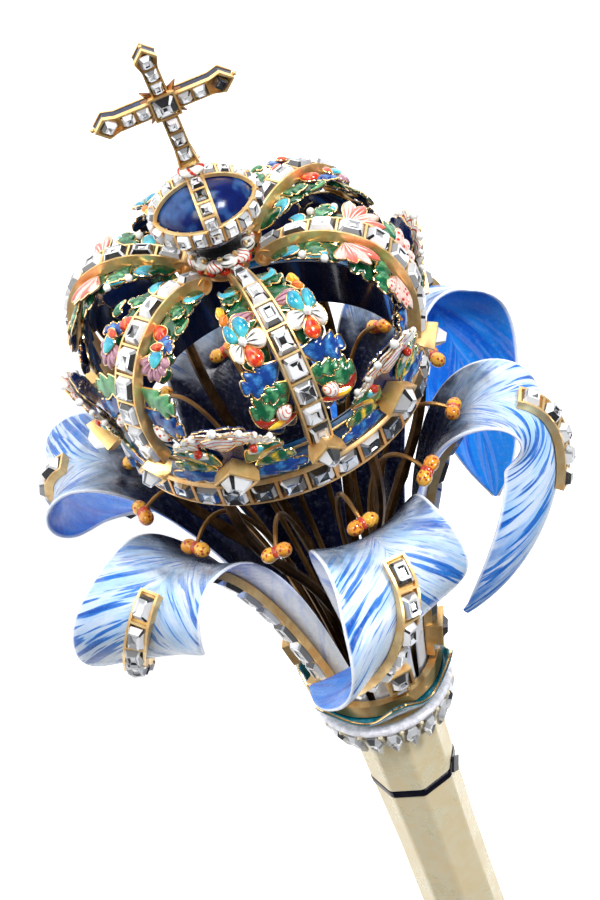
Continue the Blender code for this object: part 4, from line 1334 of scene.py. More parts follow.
def makeRing():
    form = ringForm
    metal, blue, stones = newShape(), newShape(), newShape()
    rng = random.Random(900)
    out, inside, sides = form["out"], form["in"], form["sides"]
    lathe(metal, ringChannel(), sides, closed=True, paint=(1.0, 0.86, 0.80))
    azimuth = np.arange(sides) / sides * 360.0
    steps = coveSteps()
    rows = np.concatenate([onRing(r, azimuth, z) for r, z, _ in steps])
    cells = np.concatenate([np.tile((coveShade, 0.0, 1.0), (sides, 1)) for _, _, coveShade in steps])
    # painted shade: the cove is darkest at its top and lightens towards its foot and inside
    add(blue, rows, ringFaces(len(steps), sides, True), cell=cells, kind="fade", **coveBlue)
    tube(metal, onRing(form["wall"] + 0.1, azimuth, 8.4), 0.24, 6, closed=True)
    thick = inside + 0.28
    lining = [(thick, 4.6), (thick, 0.2), (inside, 0.05), (inside, 8.3), (thick, 8.35)]
    lathe(blue, lining, sides, closed=True, paint=(0.004, 0.008, 0.03), cell=wholeCell)
    pitch = 360.0 / form["stones"]
    wide = math.pi * out / form["stones"] - 0.3
    for k in range(form["stones"]):
        here, axes = ringFrame(pitch * k, out - 0.35, 2.05)
        box(metal, here, axes, (0.24, 1.6, 0.5), paint=(1.0, 0.80, 0.70))
        here, axes = ringFrame(pitch * (k + 0.5), out - 0.7, 2.03)
        high, table = rng.uniform(1.15, 1.45), rng.uniform(0.6, 0.78)
        tableStone(stones, rng, here, axes, (wide, 1.5), 0.0, high, table=table, shade=0.8, glint=0.45)
    buildGold("crown_ring_gold", metal, "crown_ring")
    build("crown_ring_enamel", blue, enamel)
    buildStones("crown_ring_stones", stones)


# arches: head, lift, shoulder and foot are the (radius, z) points that steer their curve
archForm = {
    "head": (5.6, 27.4),
    "lift": (14.0, 34.0),
    "shoulder": (30.5, 29.5),
    "foot": (24.4, 9.3),
    "halfHead": 1.25,
    "halfFoot": 1.85,
    "tall": 2.4,
    "stones": 9,
    "samples": 48,
}
# the scroll that each arch ends in at the hub
scrollForm = {
    "centre": (6.2, 0.0, 26.9),
    "turns": 1.75,
    "reach": 1.55,
    "tighten": 0.16,
    "half": 1.35,
    "samples": 26,
}
boxForm = {"z": 8.5, "large": 3.5, "small": 2.8, "back": 24.0, "face": 27.0, "point": 1.5, "tiltDeg": 20.0}


# the box settings stand cornerwise, and look outwards and a little down
def boxAxes(axes):
    along, up, outward = axes
    c, s = cosSin(boxForm["tiltDeg"])
    top = up * c + outward * s
    return unit(along + top), unit(top - along), outward * c - up * s


def crownBox(metal, stones, rng, size, flare):
    form = boxForm
    here, axes = ringFrame(0.0, form["back"], form["z"])
    tall = form["face"] - form["back"]
    settingBox(metal, stones, rng, here, boxAxes(axes), form[size] / math.sqrt(2), tall, flare, form["point"])


def archAt(t):
    form = archForm
    points = (form["head"], form["lift"], form["shoulder"], form["foot"])
    small = 1e-3
    r, z = bezier(points, t)
    along = unit(bezier(points, min(t + small, 1.0)) - bezier(points, max(t - small, 0.0)))
    return np.array([r, 0.0, z]), np.array([along[0], 0.0, along[1]]), np.array([-along[1], 0.0, along[0]])


def archScroll(metal):
    form = scrollForm
    across = np.array([0.0, 1.0, 0.0])
    curl = []
    for a in np.linspace(0.0, form["turns"] * math.pi, form["samples"]):
        reach = form["reach"] - form["tighten"] * a
        turn = np.array([-math.sin(a - 0.7) * reach, 0.0, math.cos(a - 0.7) * reach])
        curl.append(np.array(form["centre"]) + turn)
    last = len(curl) - 1
    frames = []
    for i, point in enumerate(curl):
        step = unit(curl[min(i + 1, last)] - curl[max(i - 1, 0)])
        frames.append((point, across, unit(np.cross(step, across))))
    half = form["half"]
    section = [(-half, -0.22), (half, -0.22), (half, 0.22), (0.0, 0.34), (-half, 0.22)]
    strip(metal, frames, lambda t: section, paint=(0.85, 0.72, 0.6))


def makeArches():
    form = archForm
    frames = []
    for i in range(form["samples"] + 1):
        here, _, normal = archAt(0.02 + 0.98 * i / form["samples"])
        frames.append((here, np.array([0.0, 1.0, 0.0]), normal))

    def half(t):
        return blend(form["halfHead"], form["halfFoot"], float(smooth(t / 0.6)))

    heights = (-form["tall"] / 2, 0.0, 0.72, 1.3)
    for k in range(fold):
        metal, stones = newShape(), newShape()
        rng = random.Random(1000 + k)
        jewelRow(metal, stones, frames, form["stones"], half, heights, rng, wall=0.3, bar=0.34)
        archScroll(metal)
        crownBox(metal, stones, rng, "small", 0.72)
        azimuth = azimuths["arch"] + stepDeg * k
        buildGold(f"arch_setting_{k + 1}", turnedShape(metal, azimuth), f"crown_arch_{k + 1}")
        buildStones(f"arch_stones_{k + 1}", turnedShape(stones, azimuth))


inks = {
    "turquoise": (0.01, 0.27, 0.42),
    "turquoiseLight": (0.09, 0.54, 0.62),
    "green": (0.006, 0.11, 0.045),
    "greenDark": (0.003, 0.07, 0.025),
    "greenLight": (0.13, 0.38, 0.17),
    "blue": (0.008, 0.045, 0.23),
    "blueLight": (0.05, 0.24, 0.56),
    "navy": (0.006, 0.02, 0.11),
    "mauve": (0.16, 0.035, 0.07),
    "mauveLight": (0.42, 0.22, 0.28),
    "red": (0.60, 0.035, 0.012),
    "orange": (0.85, 0.22, 0.02),
    "yellow": (0.90, 0.58, 0.04),
    "white": (0.86, 0.85, 0.80),
    "ink": (0.03, 0.03, 0.03),
    "coral": (0.70, 0.14, 0.10),
    "pink": (0.80, 0.56, 0.50),
    "amber": (0.40, 0.13, 0.01),
    "maroon": (0.28, 0.02, 0.01),
}
backInk = (0.006, 0.012, 0.05)  # behind a cell that shows one face
pearlWhite = (0.92, 0.92, 0.90)


# enamel cells: domed patches in gold wire, the unit of all the leafwork
plainMotif = {"lobes": 0.0, "depth": 0.0, "bendDeg": 0.0, "dome": 0.5, "rim": 0.15, "rows": 12}


def motif(length, width, peak=1.0, power=0.7, **changes):
    return {**plainMotif, "length": length, "width": width, "peak": peak, "power": power, **changes}


# flat points (x, y), height and cell values of a motif whose stem is at the origin
def motifGrid(form, columns=9):
    t = np.linspace(0.0, 1.0, form["rows"])
    tt = 0.5 - 0.5 * np.cos(math.pi * t)
    tt = 0.35 * t + 0.65 * tt
    half = form["width"] / 2 * np.sin(math.pi * np.clip(tt, 0.004, 0.996) ** form["peak"]) ** form["power"]
    if form["lobes"]:
        notch = np.sin(math.pi * ((form["lobes"] * tt + 0.06) % 1.0) ** 1.5) ** 0.6
        half = half * (1.0 - form["depth"] * (1.0 - notch))
    sweep = 0.65 * half if form["lobes"] else 0.0 * half
    heading = np.radians(form["bendDeg"]) * tt
    step = form["length"] * np.gradient(tt)
    x = np.cumsum(step * np.cos(heading)) - step[0]
    y = np.cumsum(step * np.sin(heading))
    v = np.linspace(-1.0, 1.0, columns)
    c, s = np.cos(heading)[:, None], np.sin(heading)[:, None]
    aside, forward = half[:, None] * v, sweep[:, None] * v**2
    px = x[:, None] - s * aside + c * forward
    py = y[:, None] + c * aside + s * forward
    across = np.sqrt(np.clip(1.0 - v**2, 0.0, 1.0))[None, :]
    rise = across * np.sin(math.pi * np.clip(tt, 0.02, 0.98))[:, None] ** 0.5
    cell = np.stack(np.broadcast_arrays(tt[:, None], v[None, :], np.clip(rise, 0, 1)), -1)
    return px, py, form["dome"] * rise, cell


# gold wire round the edge of a cell, leaving out points that nearly touch
def cellWire(shape, loop, radius, closest=0.08):
    keep = [0]
    for i in range(1, len(loop)):
        if np.linalg.norm(loop[i] - loop[keep[-1]]) > closest:
            keep.append(i)
    if np.linalg.norm(loop[keep[-1]] - loop[0]) < closest:
        keep.pop()
    if len(keep) > 3:
        tube(shape, loop[keep], radius, 5, closed=True, kind="gold", paint=(1, 1, 1), cell=wholeCell)


# lays one enamel cell on a surface(x, y, height). side -1 mirrors it, tilt lifts its tip, and with no
# back colour it is painted on both faces
def putMotif(shape, surface, form, at, turnDeg, side, lift, tilt, paint, accent, kind, back=backInk):
    px, py, height, cell = motifGrid(form)
    c, s = cosSin(turnDeg)
    sx = at[0] + px * c - py * s
    sy = (at[1] + px * s + py * c) * side
    reach = np.clip(px / max(form["length"], 0.1), 0.0, 1.0)
    floor = lift + tilt * reach**1.5
    top = surface(sx, sy, floor + 0.12 + height)
    under = surface(sx, sy, floor - 0.22)
    rows, columns = px.shape

    def frontAndBack(front, behind, width=3):
        halves = [np.tile(np.asarray(value, float), (rows, columns, 1)) for value in (front, behind)]
        return np.concatenate(halves, 1).reshape((-1, width) if width > 1 else -1)

    first, second, code = inks[paint], inks[accent], brush[kind]
    looks = {
        "paint": frontAndBack(first, first if back is None else back),
        "accent": frontAndBack(second, second if back is None else back),
        "cell": np.concatenate([cell, cell[:, ::-1]], 1).reshape(-1, 3),
        "kind": frontAndBack(code, code if back is None else brush["plain"], 1),
    }
    rings = np.concatenate([top, under[:, ::-1]], 1).reshape(-1, 3)
    add(shape, rings, loftFaces(rows, 2 * columns), **looks)
    edge = surface(sx, sy, floor + 0.10)
    cellWire(shape, np.concatenate([edge[:, 0], edge[::-1, -1]]), form["rim"])


def pearl(shape, surface, at, side, up, radius, ink=None):
    centre = surface(np.array([at[0]]), np.array([at[1] * side]), np.array([up]))[0]
    ball(shape, centre, (radius, radius, radius), None, 9, 12, paint=inks[ink] if ink else pearlWhite)


wingForm = {"drop": 1.5, "limit": 0.47, "samples": 200}

# points, directions and normals along an arch, and how far along it each one is
archTable = [np.array(column) for column in zip(*(archAt(t) for t in np.linspace(0, 1, wingForm["samples"])))]
archRun = np.concatenate([[0.0], np.cumsum(np.linalg.norm(np.diff(archTable[0], axis=0), axis=1))])


# leafwork surface under an arch: s along the arch from its head, w sideways, h outwards
def wingSurface(s, w, h):
    s, w, h = np.broadcast_arrays(np.asarray(s, float), w, h)
    here, along, normal = (
        np.stack([np.interp(s, archRun, table[:, i]) for i in range(3)], -1) for table in archTable
    )
    over = np.clip(s - archRun[-1], 0.0, 6.0)
    under = np.clip(-s, 0.0, 4.0)
    lifted = here + along * (over - under)[..., None] + normal * (h - wingForm["drop"])[..., None]
    radius = np.maximum(lifted[..., 0], 2.0)
    angle = wingForm["limit"] * np.tanh(w / (radius * wingForm["limit"]))
    return np.stack([radius * np.cos(angle), radius * np.sin(angle), lifted[..., 2]], -1)


# five round petals, two turquoise, two white and one red and orange, about a white eye
def flower(shape, at, side, lift):
    turquoise, white = ("turquoise", "turquoiseLight", "fade"), ("white", "ink", "strokes")
    petals = (turquoise, turquoise, white, ("red", "orange", "patches"), white)
    form = motif(3.4, 3.0, 1.35, 0.55, dome=0.75, rim=0.14)
    for i, (paint, accent, kind) in enumerate(petals):
        heading = 72.0 * i + 128.0
        c, s = cosSin(heading)
        stem = (at[0] + 0.5 * c, at[1] + 0.5 * s)
        putMotif(shape, wingSurface, form, stem, heading, side, lift + 0.06 * i, 0.7, paint, accent, kind)
    pearl(shape, wingSurface, at, side, lift + 0.9, 0.62)
    for i in range(6):
        c, s = cosSin(60.0 * i)
        pearl(shape, wingSurface, (at[0] + 0.55 * c, at[1] + 0.55 * s), side, lift + 0.95, 0.22, "white")


# ribbed mauve flower head under a turquoise cup with a red and orange lip
def pumpkin(shape, at, side, lift, turnDeg):
    def piece(form, stem, heading, up, tilt, *look):
        putMotif(shape, wingSurface, form, stem, turnDeg + heading, side, lift + up, tilt, *look)

    for i, fan in enumerate((-74.0, -46.0, -18.0, 10.0, 38.0, 66.0)):
        rib = motif(3.7 - 0.2 * abs(i - 2.5), 1.75, 1.15, 0.6, dome=0.75, rim=0.12)
        piece(rib, at, fan, 0.1 * (i % 2), 0.2, "mauveLight", "mauve", "strokes")
    cup = motif(2.6, 2.6, 0.55, 0.55, rim=0.14)
    piece(cup, (at[0] - 1.1, at[1] + 0.1), 0.0, 0.8, 0.2, "turquoiseLight", "turquoise", "fade")
    lip = motif(2.5, 1.3, 1.0, 0.6, rim=0.14)
    piece(lip, (at[0] - 1.3, at[1] - 1.2), 90.0, 1.0, 0.0, "red", "orange", "patches")


def lobedLeaf(shape, at, side, lift, turnDeg, length, width, paint, accent, bendDeg=20.0, tilt=0.9):
    form = motif(length, width, 0.85, 0.62, lobes=lobeCount, depth=0.58, bendDeg=bendDeg, dome=0.55, rows=38)
    putMotif(shape, wingSurface, form, at, turnDeg, side, lift, tilt, paint, accent, "patches")


def bud(shape, at, side, lift, turnDeg, length, width, paint, accent, kind="strokes"):
    form = motif(length, width, 1.05, 0.55, dome=0.85, rim=0.13)
    putMotif(shape, wingSurface, form, at, turnDeg, side, lift, 0.3, paint, accent, kind)


def volute(shape, at, side, lift, turnDeg, length, width, paint, accent, bendDeg=170.0):
    form = motif(length, width, 0.9, 0.6, bendDeg=bendDeg, dome=0.4, rim=0.14, rows=18)
    putMotif(shape, wingSurface, form, at, turnDeg, side, lift, 0.8, paint, accent, "fade")


# dark green and navy leaves that the flowers stand on
def wingBase(shape):
    end = archRun[-1]
    for side in (1.0, -1.0):
        lobedLeaf(shape, (0.6, 0.2), side, 0.0, 30.0, 11.0, 4.2, "greenDark", "green", 6.0, 0.2)
        lobedLeaf(shape, (6.0, 0.4), side, -0.1, 34.0, 10.0, 5.2, "greenDark", "green", -6.0, 0.0)
        lobedLeaf(shape, (13.0, 0.2), side, -0.15, 42.0, 10.0, 6.0, "greenDark", "green", -10.0, 0.0)
        lobedLeaf(shape, (end - 12.0, 0.0), side, -0.15, 40.0, 11.0, 6.2, "navy", "blue", -10.0, 0.0)


def wingOne(shape):
    for side in (1.0, -1.0):
        volute(shape, (5.6, 2.2), side, 0.5, 20.0, 6.2, 2.0, "turquoise", "turquoiseLight")
        lobedLeaf(shape, (7.0, 1.6), side, 0.35, 50.0, 5.0, 2.4, "greenDark", "green", 25.0)
        bud(shape, (12.4, 1.7), side, 0.5, 74.0, 5.0, 3.0, "mauveLight", "mauve")
        bud(shape, (10.2, 6.4), side, 0.7, 66.0, 3.4, 2.3, "yellow", "orange", "patches")
        bud(shape, (11.6, 6.2), side, 0.75, 60.0, 3.2, 1.7, "orange", "red")
        volute(shape, (14.0, 1.9), side, 0.6, 80.0, 5.0, 1.3, "greenLight", "green", -60.0)
        flower(shape, (16.8, 5.6), side, 1.0)
        lobedLeaf(shape, (21.0, 1.6), side, 0.45, 58.0, 8.6, 4.8, "blue", "blueLight", 34.0)
        lobedLeaf(shape, (25.2, 1.6), side, 0.35, 54.0, 8.8, 5.4, "green", "greenLight", 38.0)
        lobedLeaf(shape, (24.6, 1.2), side, 0.6, 70.0, 5.4, 3.0, "green", "greenLight", 20.0)
        bud(shape, (28.2, 2.6), side, 0.95, 58.0, 2.9, 2.5, "white", "coral", "arcs")
        volute(shape, (30.2, 2.0), side, 0.7, 66.0, 8.6, 2.0, "maroon", "red", 70.0)
        volute(shape, (29.8, 3.0), side, 0.95, 62.0, 4.6, 1.1, "yellow", "orange", 40.0)


def wingTwo(shape):
    for side in (1.0, -1.0):
        volute(shape, (5.4, 2.2), side, 0.5, 20.0, 6.0, 2.0, "turquoise", "turquoiseLight")
        lobedLeaf(shape, (8.0, 1.6), side, 0.35, 46.0, 5.4, 2.6, "green", "greenLight", 25.0)
        bud(shape, (12.6, 1.8), side, 0.6, 52.0, 3.6, 2.3, "red", "orange", "patches")
        lobedLeaf(shape, (13.6, 3.2), side, 0.6, 40.0, 5.6, 2.8, "blue", "blueLight", 40.0)
        volute(shape, (12.6, 6.6), side, 0.95, 20.0, 4.4, 1.5, "greenLight", "green", 210.0)
        pumpkin(shape, (17.6, 4.7), side, 0.8, 6.0)
        lobedLeaf(shape, (22.6, 1.6), side, 0.45, 56.0, 8.0, 4.4, "greenLight", "green", 30.0)
        lobedLeaf(shape, (26.2, 1.6), side, 0.35, 52.0, 8.8, 5.0, "blue", "blueLight", 36.0)
        bud(shape, (29.2, 2.8), side, 0.9, 50.0, 3.4, 1.9, "white", "red", "dots")
        volute(shape, (30.4, 4.6), side, 0.7, 70.0, 5.4, 1.7, "amber", "yellow", 110.0)


def wingThree(shape):
    for side in (1.0, -1.0):
        volute(shape, (5.2, 2.0), side, 0.5, 24.0, 6.4, 2.2, "turquoise", "turquoiseLight", 120.0)
        lobedLeaf(shape, (8.4, 1.6), side, 0.4, 48.0, 6.6, 3.2, "green", "greenLight", 30.0)
        volute(shape, (11.0, 4.6), side, 0.7, 16.0, 5.0, 1.6, "turquoise", "turquoiseLight", 190.0)
        pearl(shape, wingSurface, (9.0, 6.4), side, 0.9, 0.62)
        pearl(shape, wingSurface, (12.6, 7.4), side, 0.9, 0.62)
        shell = motif(6.0, 1.9, 1.3, 0.6, dome=0.6, rim=0.13)
        for i, fan in enumerate((-34.0, -12.0, 12.0, 34.0)):
            paint, accent = ("pink", "coral") if i % 2 else ("coral", "white")
            at, heading = (14.2, 2.2), 50.0 + fan
            putMotif(shape, wingSurface, shell, at, heading, side, 0.7, 1.0, paint, accent, "strokes")
        lobedLeaf(shape, (20.4, 1.6), side, 0.5, 58.0, 7.6, 4.2, "green", "greenLight", 30.0)
        bell = motif(5.4, 2.3, 1.25, 0.6, dome=0.6, rim=0.13)
        for fan in (-40.0, -14.0, 12.0, 38.0):
            at, heading = (24.2, 2.4), 62.0 + fan
            putMotif(shape, wingSurface, bell, at, heading, side, 0.8, 1.1, "pink", "red", "dots")
        lobedLeaf(shape, (27.4, 1.6), side, 0.35, 52.0, 8.0, 4.6, "blue", "blueLight", 36.0)
        volute(shape, (30.6, 3.6), side, 0.6, 70.0, 5.4, 1.7, "amber", "yellow", 110.0)


def makeLeafwork():
    makers = (wingOne, wingThree, wingTwo)
    for k in range(fold):
        shape = newShape()
        wingBase(shape)
        makers[k % 3](shape)
        turned = turnedShape(shape, azimuths["arch"] + stepDeg * k)
        build(f"leafwork_{k + 1}", turned, enamel, [f"crown_leafwork_{k + 1}"], 50)


# crests between the arches
crestForm = {
    "foot": (24.0, 4.9),
    "waist": (23.8, 12.5),
    "tip": (27.8, 19.2),
    "length": 13.6,
    "widen": 1.19,
}


# outward-leaning crest face: x upwards from its foot, y sideways, h outwards
def crestSurface(x, y, h):
    form = crestForm
    x, y, h = np.broadcast_arrays(np.asarray(x, float), y, h)
    t = np.clip(x / form["length"], -0.1, 1.15)
    foot, waist, tip = (np.array(form[key]) for key in ("foot", "waist", "tip"))
    point = ((1 - t) ** 2)[..., None] * foot + (2 * (1 - t) * t)[..., None] * waist + (t**2)[..., None] * tip
    run = 2 * (1 - t)[..., None] * (waist - foot) + (2 * t)[..., None] * (tip - waist)
    run = run / np.linalg.norm(run, axis=-1, keepdims=True)
    radius = point[..., 0] + run[..., 1] * h
    z = point[..., 1] - run[..., 0] * h
    angle = y * form["widen"] / radius
    return np.stack([radius * np.cos(angle), radius * np.sin(angle), z], -1)


def crestCell(shape, form, at, turnDeg, side, lift, tilt, paint, accent, kind="plain"):
    putMotif(shape, crestSurface, form, at, turnDeg, side, lift, tilt, paint, accent, kind, None)


# a white shell with red ribs in the middle of a crest
def crestShell(shape):
    rib = motif(5.6, 2.6, 1.3, 0.6, dome=0.35, rim=0.13)
    for fan in (-50.0, -25.0, 0.0, 25.0, 50.0):
        crestCell(shape, rib, (8.4, 0.0), fan, 1.0, 0.5 + 0.002 * fan, 0.5, "white", "red", "arcs")
    middle = motif(5.0, 4.4, 1.1, 0.55, dome=0.55, rim=0.14)
    crestCell(shape, middle, (8.2, 0.0), 0.0, 1.0, 0.9, 0.4, "white", "red", "arcs")


# what stands on either side of the shell: a rayed flower, leaves, a volute and pearls
def crestSide(shape, side):
    for i in range(6):
        ray = motif(4.0 - 0.15 * i, 0.95, 1.3, 0.7, dome=0.3, rim=0.09, rows=8)
        crestCell(shape, ray, (7.4, 3.4), 8.0 + 17.0 * i, side, 0.55, 0.7, "white", "ink")
    eye = motif(3.4, 3.0, 1.0, 0.6, dome=0.25, rim=0.12)
    crestCell(shape, eye, (6.9, 2.8), 50.0, side, 0.35, 0.3, "ink", "ink")
    spot = motif(2.6, 1.7, 1.0, 0.6, rim=0.12)
    crestCell(shape, spot, (6.6, 2.6), 48.0, side, 1.0, 0.3, "turquoiseLight", "white", "fade")
    leaf = {"lobes": lobeCount, "dome": 0.4, "rim": 0.14, "rows": 32}
    upper = motif(6.4, 3.8, 0.85, 0.62, **leaf, depth=0.5, bendDeg=30.0)
    crestCell(shape, upper, (4.2, 1.6), 38.0, side, 0.5, 0.8, "green", "greenLight", "patches")
    middle = motif(5.4, 3.2, 0.85, 0.62, **leaf, depth=0.5, bendDeg=26.0)
    crestCell(shape, middle, (3.2, 2.4), 62.0, side, 0.35, 0.7, "green", "yellow", "patches")
    lower = motif(7.4, 3.1, 0.85, 0.62, **leaf, depth=0.45, bendDeg=20.0)
    crestCell(shape, lower, (1.4, 1.4), 74.0, side, 0.2, 0.8, "blue", "blueLight", "patches")
    curl = motif(4.6, 1.3, 1.0, 0.6, bendDeg=60.0, dome=0.3, rim=0.12, rows=14)
    crestCell(shape, curl, (5.0, 3.4), 24.0, side, 0.9, 0.5, "amber", "yellow", "fade")
    for i, radius in enumerate((0.62, 0.5, 0.5)):
        pearl(shape, crestSurface, (12.6 - 1.4 * i, 2.9 + 1.5 * i), side, 1.0, radius)
    pearl(shape, crestSurface, (8.2, 3.5), side, 1.4, 0.7, "red")


def makeCrests():
    for k in range(fold):
        shape, metal, stones = newShape(), newShape(), newShape()
        crestShell(shape)
        for side in (1.0, -1.0):
            crestSide(shape, side)
        pearl(shape, crestSurface, (13.9, 0.0), 1.0, 0.9, 0.7)
        plate = motif(12.2, 8.0, 0.95, 0.5, lobes=4.6, depth=0.18, dome=0.1, rim=0.12, rows=30)
        crestCell(shape, plate, (0.3, 0.0), 0.0, 1.0, -0.1, 0.0, "navy", "navy")
        crownBox(metal, stones, random.Random(1300 + k), "large", 0.66)
        azimuth = azimuths["crest"] + stepDeg * k
        enamelled = turnedShape(shape, azimuth)
        build(f"crest_enamel_{k + 1}", enamelled, enamel, [f"crown_crest_{k + 1}"], 50)
        buildGold(f"crest_box_{k + 1}", turnedShape(metal, azimuth))
        buildStones(f"crest_stone_{k + 1}", turnedShape(stones, azimuth))


makeRing()
makeArches()
print("arches made")
makeLeafwork()
makeCrests()
print("crown made")


# hub of beads under the orb
hubForm = {
    "beads": 12,
    "ringRadius": 4.15,
    "z": 29.3,
    "dip": 0.35,
    "bead": (1.0, 1.12, 1.3),
    "startDeg": 6.0,
    "betweenDeg": 15.0,
    "berry": (0.7, 0.7, 0.8),
    "berryAt": (3.9, 27.6),
    "knob": (0.42, 0.42, 0.42),
    "knobAt": (4.6, 30.4),
    "cup": [(0.0, 30.0), (3.4, 30.0), (3.9, 29.2), (3.7, 28.1), (0.0, 28.1)],
    "stem": [
        (0.0, 28.0), (3.7, 28.0), (4.2, 27.4), (4.0, 26.6), (3.2, 25.9),
        (3.4, 25.5), (2.4, 24.9), (1.8, 24.6), (0.0, 24.6),
    ],
}


def makeHub():
    form = hubForm
    metal, beads = newShape(), newShape()
    lathe(beads, form["cup"], 48, paint=inks["ink"])
    lathe(metal, form["stem"], 48, paint=(0.62, 0.48, 0.36))
    for k in range(form["beads"]):
        azimuth = 360.0 / form["beads"] * k + form["startDeg"]
        ribbed = k % 2
        z = form["z"] - form["dip"] * ribbed
        centre, (along, up, outward) = ringFrame(azimuth, form["ringRadius"], z)
        axes = np.array([up, outward, along])
        accent, kind = ("red", "arcs") if ribbed else ("ink", "strokes")
        looks = {"paint": inks["white"], "accent": inks[accent], "kind": kind}
        ball(beads, centre, form["bead"], axes, 12, 16, **looks)
        between = azimuth + form["betweenDeg"]
        berry, knob = (onRing(r, between, z) for r, z in (form["berryAt"], form["knobAt"]))
        ball(beads, berry, form["berry"], axes, 9, 12, paint=inks["red"])
        ball(metal, knob, form["knob"], None, 7, 9)
    buildGold("hub_setting", metal, "crown_hub")
    build("hub_beads", beads, enamel)


# orb, its jewelled bands and the striped ring under the cross
orbForm = {
    "radius": 7.3,
    "half": 5.4,
    "z": 36.8,
    "rows": 64,
    "sides": 96,
    "bandHalf": 1.3,
    "sweepDeg": 84.0,
    "hoopStones": 9,
    "beltStones": 21,
    "deep": (0.004, 0.010, 0.085),
    "cloud": (0.022, 0.075, 0.23),
    # the lower half's colour: painted shade, darker than the rest of the orb
    "under": (0.004, 0.006, 0.045),
}
crossRingForm = {"radius": 1.55, "wire": 0.62, "z": 44.1, "rows": 48, "sides": 14, "twists": 6.0}


# a point on the orb's outline, and the direction that looks outwards there
def orbAt(polarDeg):
    form = orbForm
    c, s = cosSin(polarDeg)
    here = np.array([form["radius"] * s, 0.0, form["z"] + form["half"] * c])
    return here, unit(np.array([s / form["radius"], 0.0, c / form["half"]]))


def orbBall():
    form = orbForm
    body = newShape()
    azimuth = np.arange(form["sides"]) / form["sides"] * 360.0
    polar = np.linspace(1.0, 179.0, form["rows"])
    rows, paints, accents = [], [], []
    for p in polar:
        here, _ = orbAt(p)
        rows.append(onRing(here[0], azimuth, here[2]))
        # painted shade: below its belt the orb turns darker and loses its clouds
        below = float(smooth((p - 86.0) / 8.0))
        for target, ink in ((paints, "deep"), (accents, "cloud")):
            colour = blend(np.array(form[ink]), np.array(form["under"]), below)
            target.append(np.tile(colour, (form["sides"], 1)))
    looks = {"paint": np.concatenate(paints), "accent": np.concatenate(accents), "kind": "clouds"}
    add(body, np.concatenate(rows), loftFaces(len(polar), form["sides"]), cell=wholeCell, **looks)
    build("orb_enamel", body, deepEnamel, ["orb"], 60)


# two hoops of stones that cross over the orb
def orbHoops(metal, stones, rng):
    form = orbForm
    frames = []
    for p in np.linspace(-form["sweepDeg"], form["sweepDeg"], 61):
        here, normal = orbAt(p)
        frames.append((here, np.array([0.0, 1.0, 0.0]), normal))
    for turn, lift, darkAt in ((0.0, 0.0, (6,)), (90.0, 0.02, ())):
        hoop, gems = newShape(), newShape()
        heights = (0.06 + lift, 0.3 + lift, 0.6 + lift, 1.0 + lift)
        looks = {"wall": 0.36, "bar": 0.3, "darkAt": darkAt}
        jewelRow(hoop, gems, frames, form["hoopStones"], lambda t: form["bandHalf"], heights, rng, **looks)
        merge(metal, turnedShape(hoop, turn))
        merge(stones, turnedShape(gems, turn))


# the belt round the orb's middle
def orbBelt(metal, stones, rng):
    form = orbForm
    half = form["bandHalf"]
    inner, outer = form["radius"] + 0.06, form["radius"] + 0.62
    upper = [(inner, half), (outer - 0.1, half), (outer, half - 0.12), (outer, half - 0.34)]
    upper.append((inner + 0.25, half - 0.36))
    section = upper + [(r, -up) for r, up in reversed(upper)]
    lathe(metal, [(r, form["z"] + up) for r, up in section], 120, closed=True)
    pitch = 360.0 / form["beltStones"]
    wide = math.pi * outer / form["beltStones"] - 0.2
    for k in range(form["beltStones"]):
        here, axes = ringFrame(pitch * (k + 0.5), inner + 0.2, form["z"])
        box(metal, here, axes, (0.14, half - 0.1, 0.62), paint=(0.8, 0.66, 0.5))
        here, axes = ringFrame(pitch * k, inner, form["z"])
        high, table = rng.uniform(1.15, 1.4), rng.uniform(0.6, 0.78)
        tableStone(stones, rng, here, axes, (wide, half - 0.22), 0.3, high, table=table)


def makeOrb():
    orbBall()
    metal, stones = newShape(), newShape()
    rng = random.Random(1500)
    orbHoops(metal, stones, rng)
    orbBelt(metal, stones, rng)
    buildGold("orb_band_settings", metal, "orb_bands")
    buildStones("orb_band_stones", stones)


# a white ring with red stripes that twist round it
def makeCrossRing():
    form = crossRingForm
    ring = newShape()
    azimuth = np.arange(form["rows"]) / form["rows"] * 360.0
    angles = np.arange(form["sides"]) / form["sides"] * 2 * math.pi
    rows, cells = [], []
    for turn, here in zip(azimuth, onRing(form["radius"], azimuth, form["z"])):
        outward = onRing(1.0, turn, 0.0)
        across, up = np.cos(angles)[:, None], np.sin(angles)[:, None]
        rows.append(here + (across * outward + up * np.array([0.0, 0.0, 1.0])) * form["wire"])
        spiral = 0.5 + 0.5 * np.cos(math.radians(turn) * form["twists"] + angles)
        cells.append(np.stack([spiral, 0 * spiral, 0 * spiral + 1.0], -1))
    looks = {"paint": inks["white"], "accent": inks["red"], "kind": "twist", "cell": np.concatenate(cells)}
    add(ring, np.concatenate(rows), ringFaces(form["rows"], form["sides"], True), **looks)
    build("cross_ring_enamel", ring, enamel, ["cross_ring"], 60)


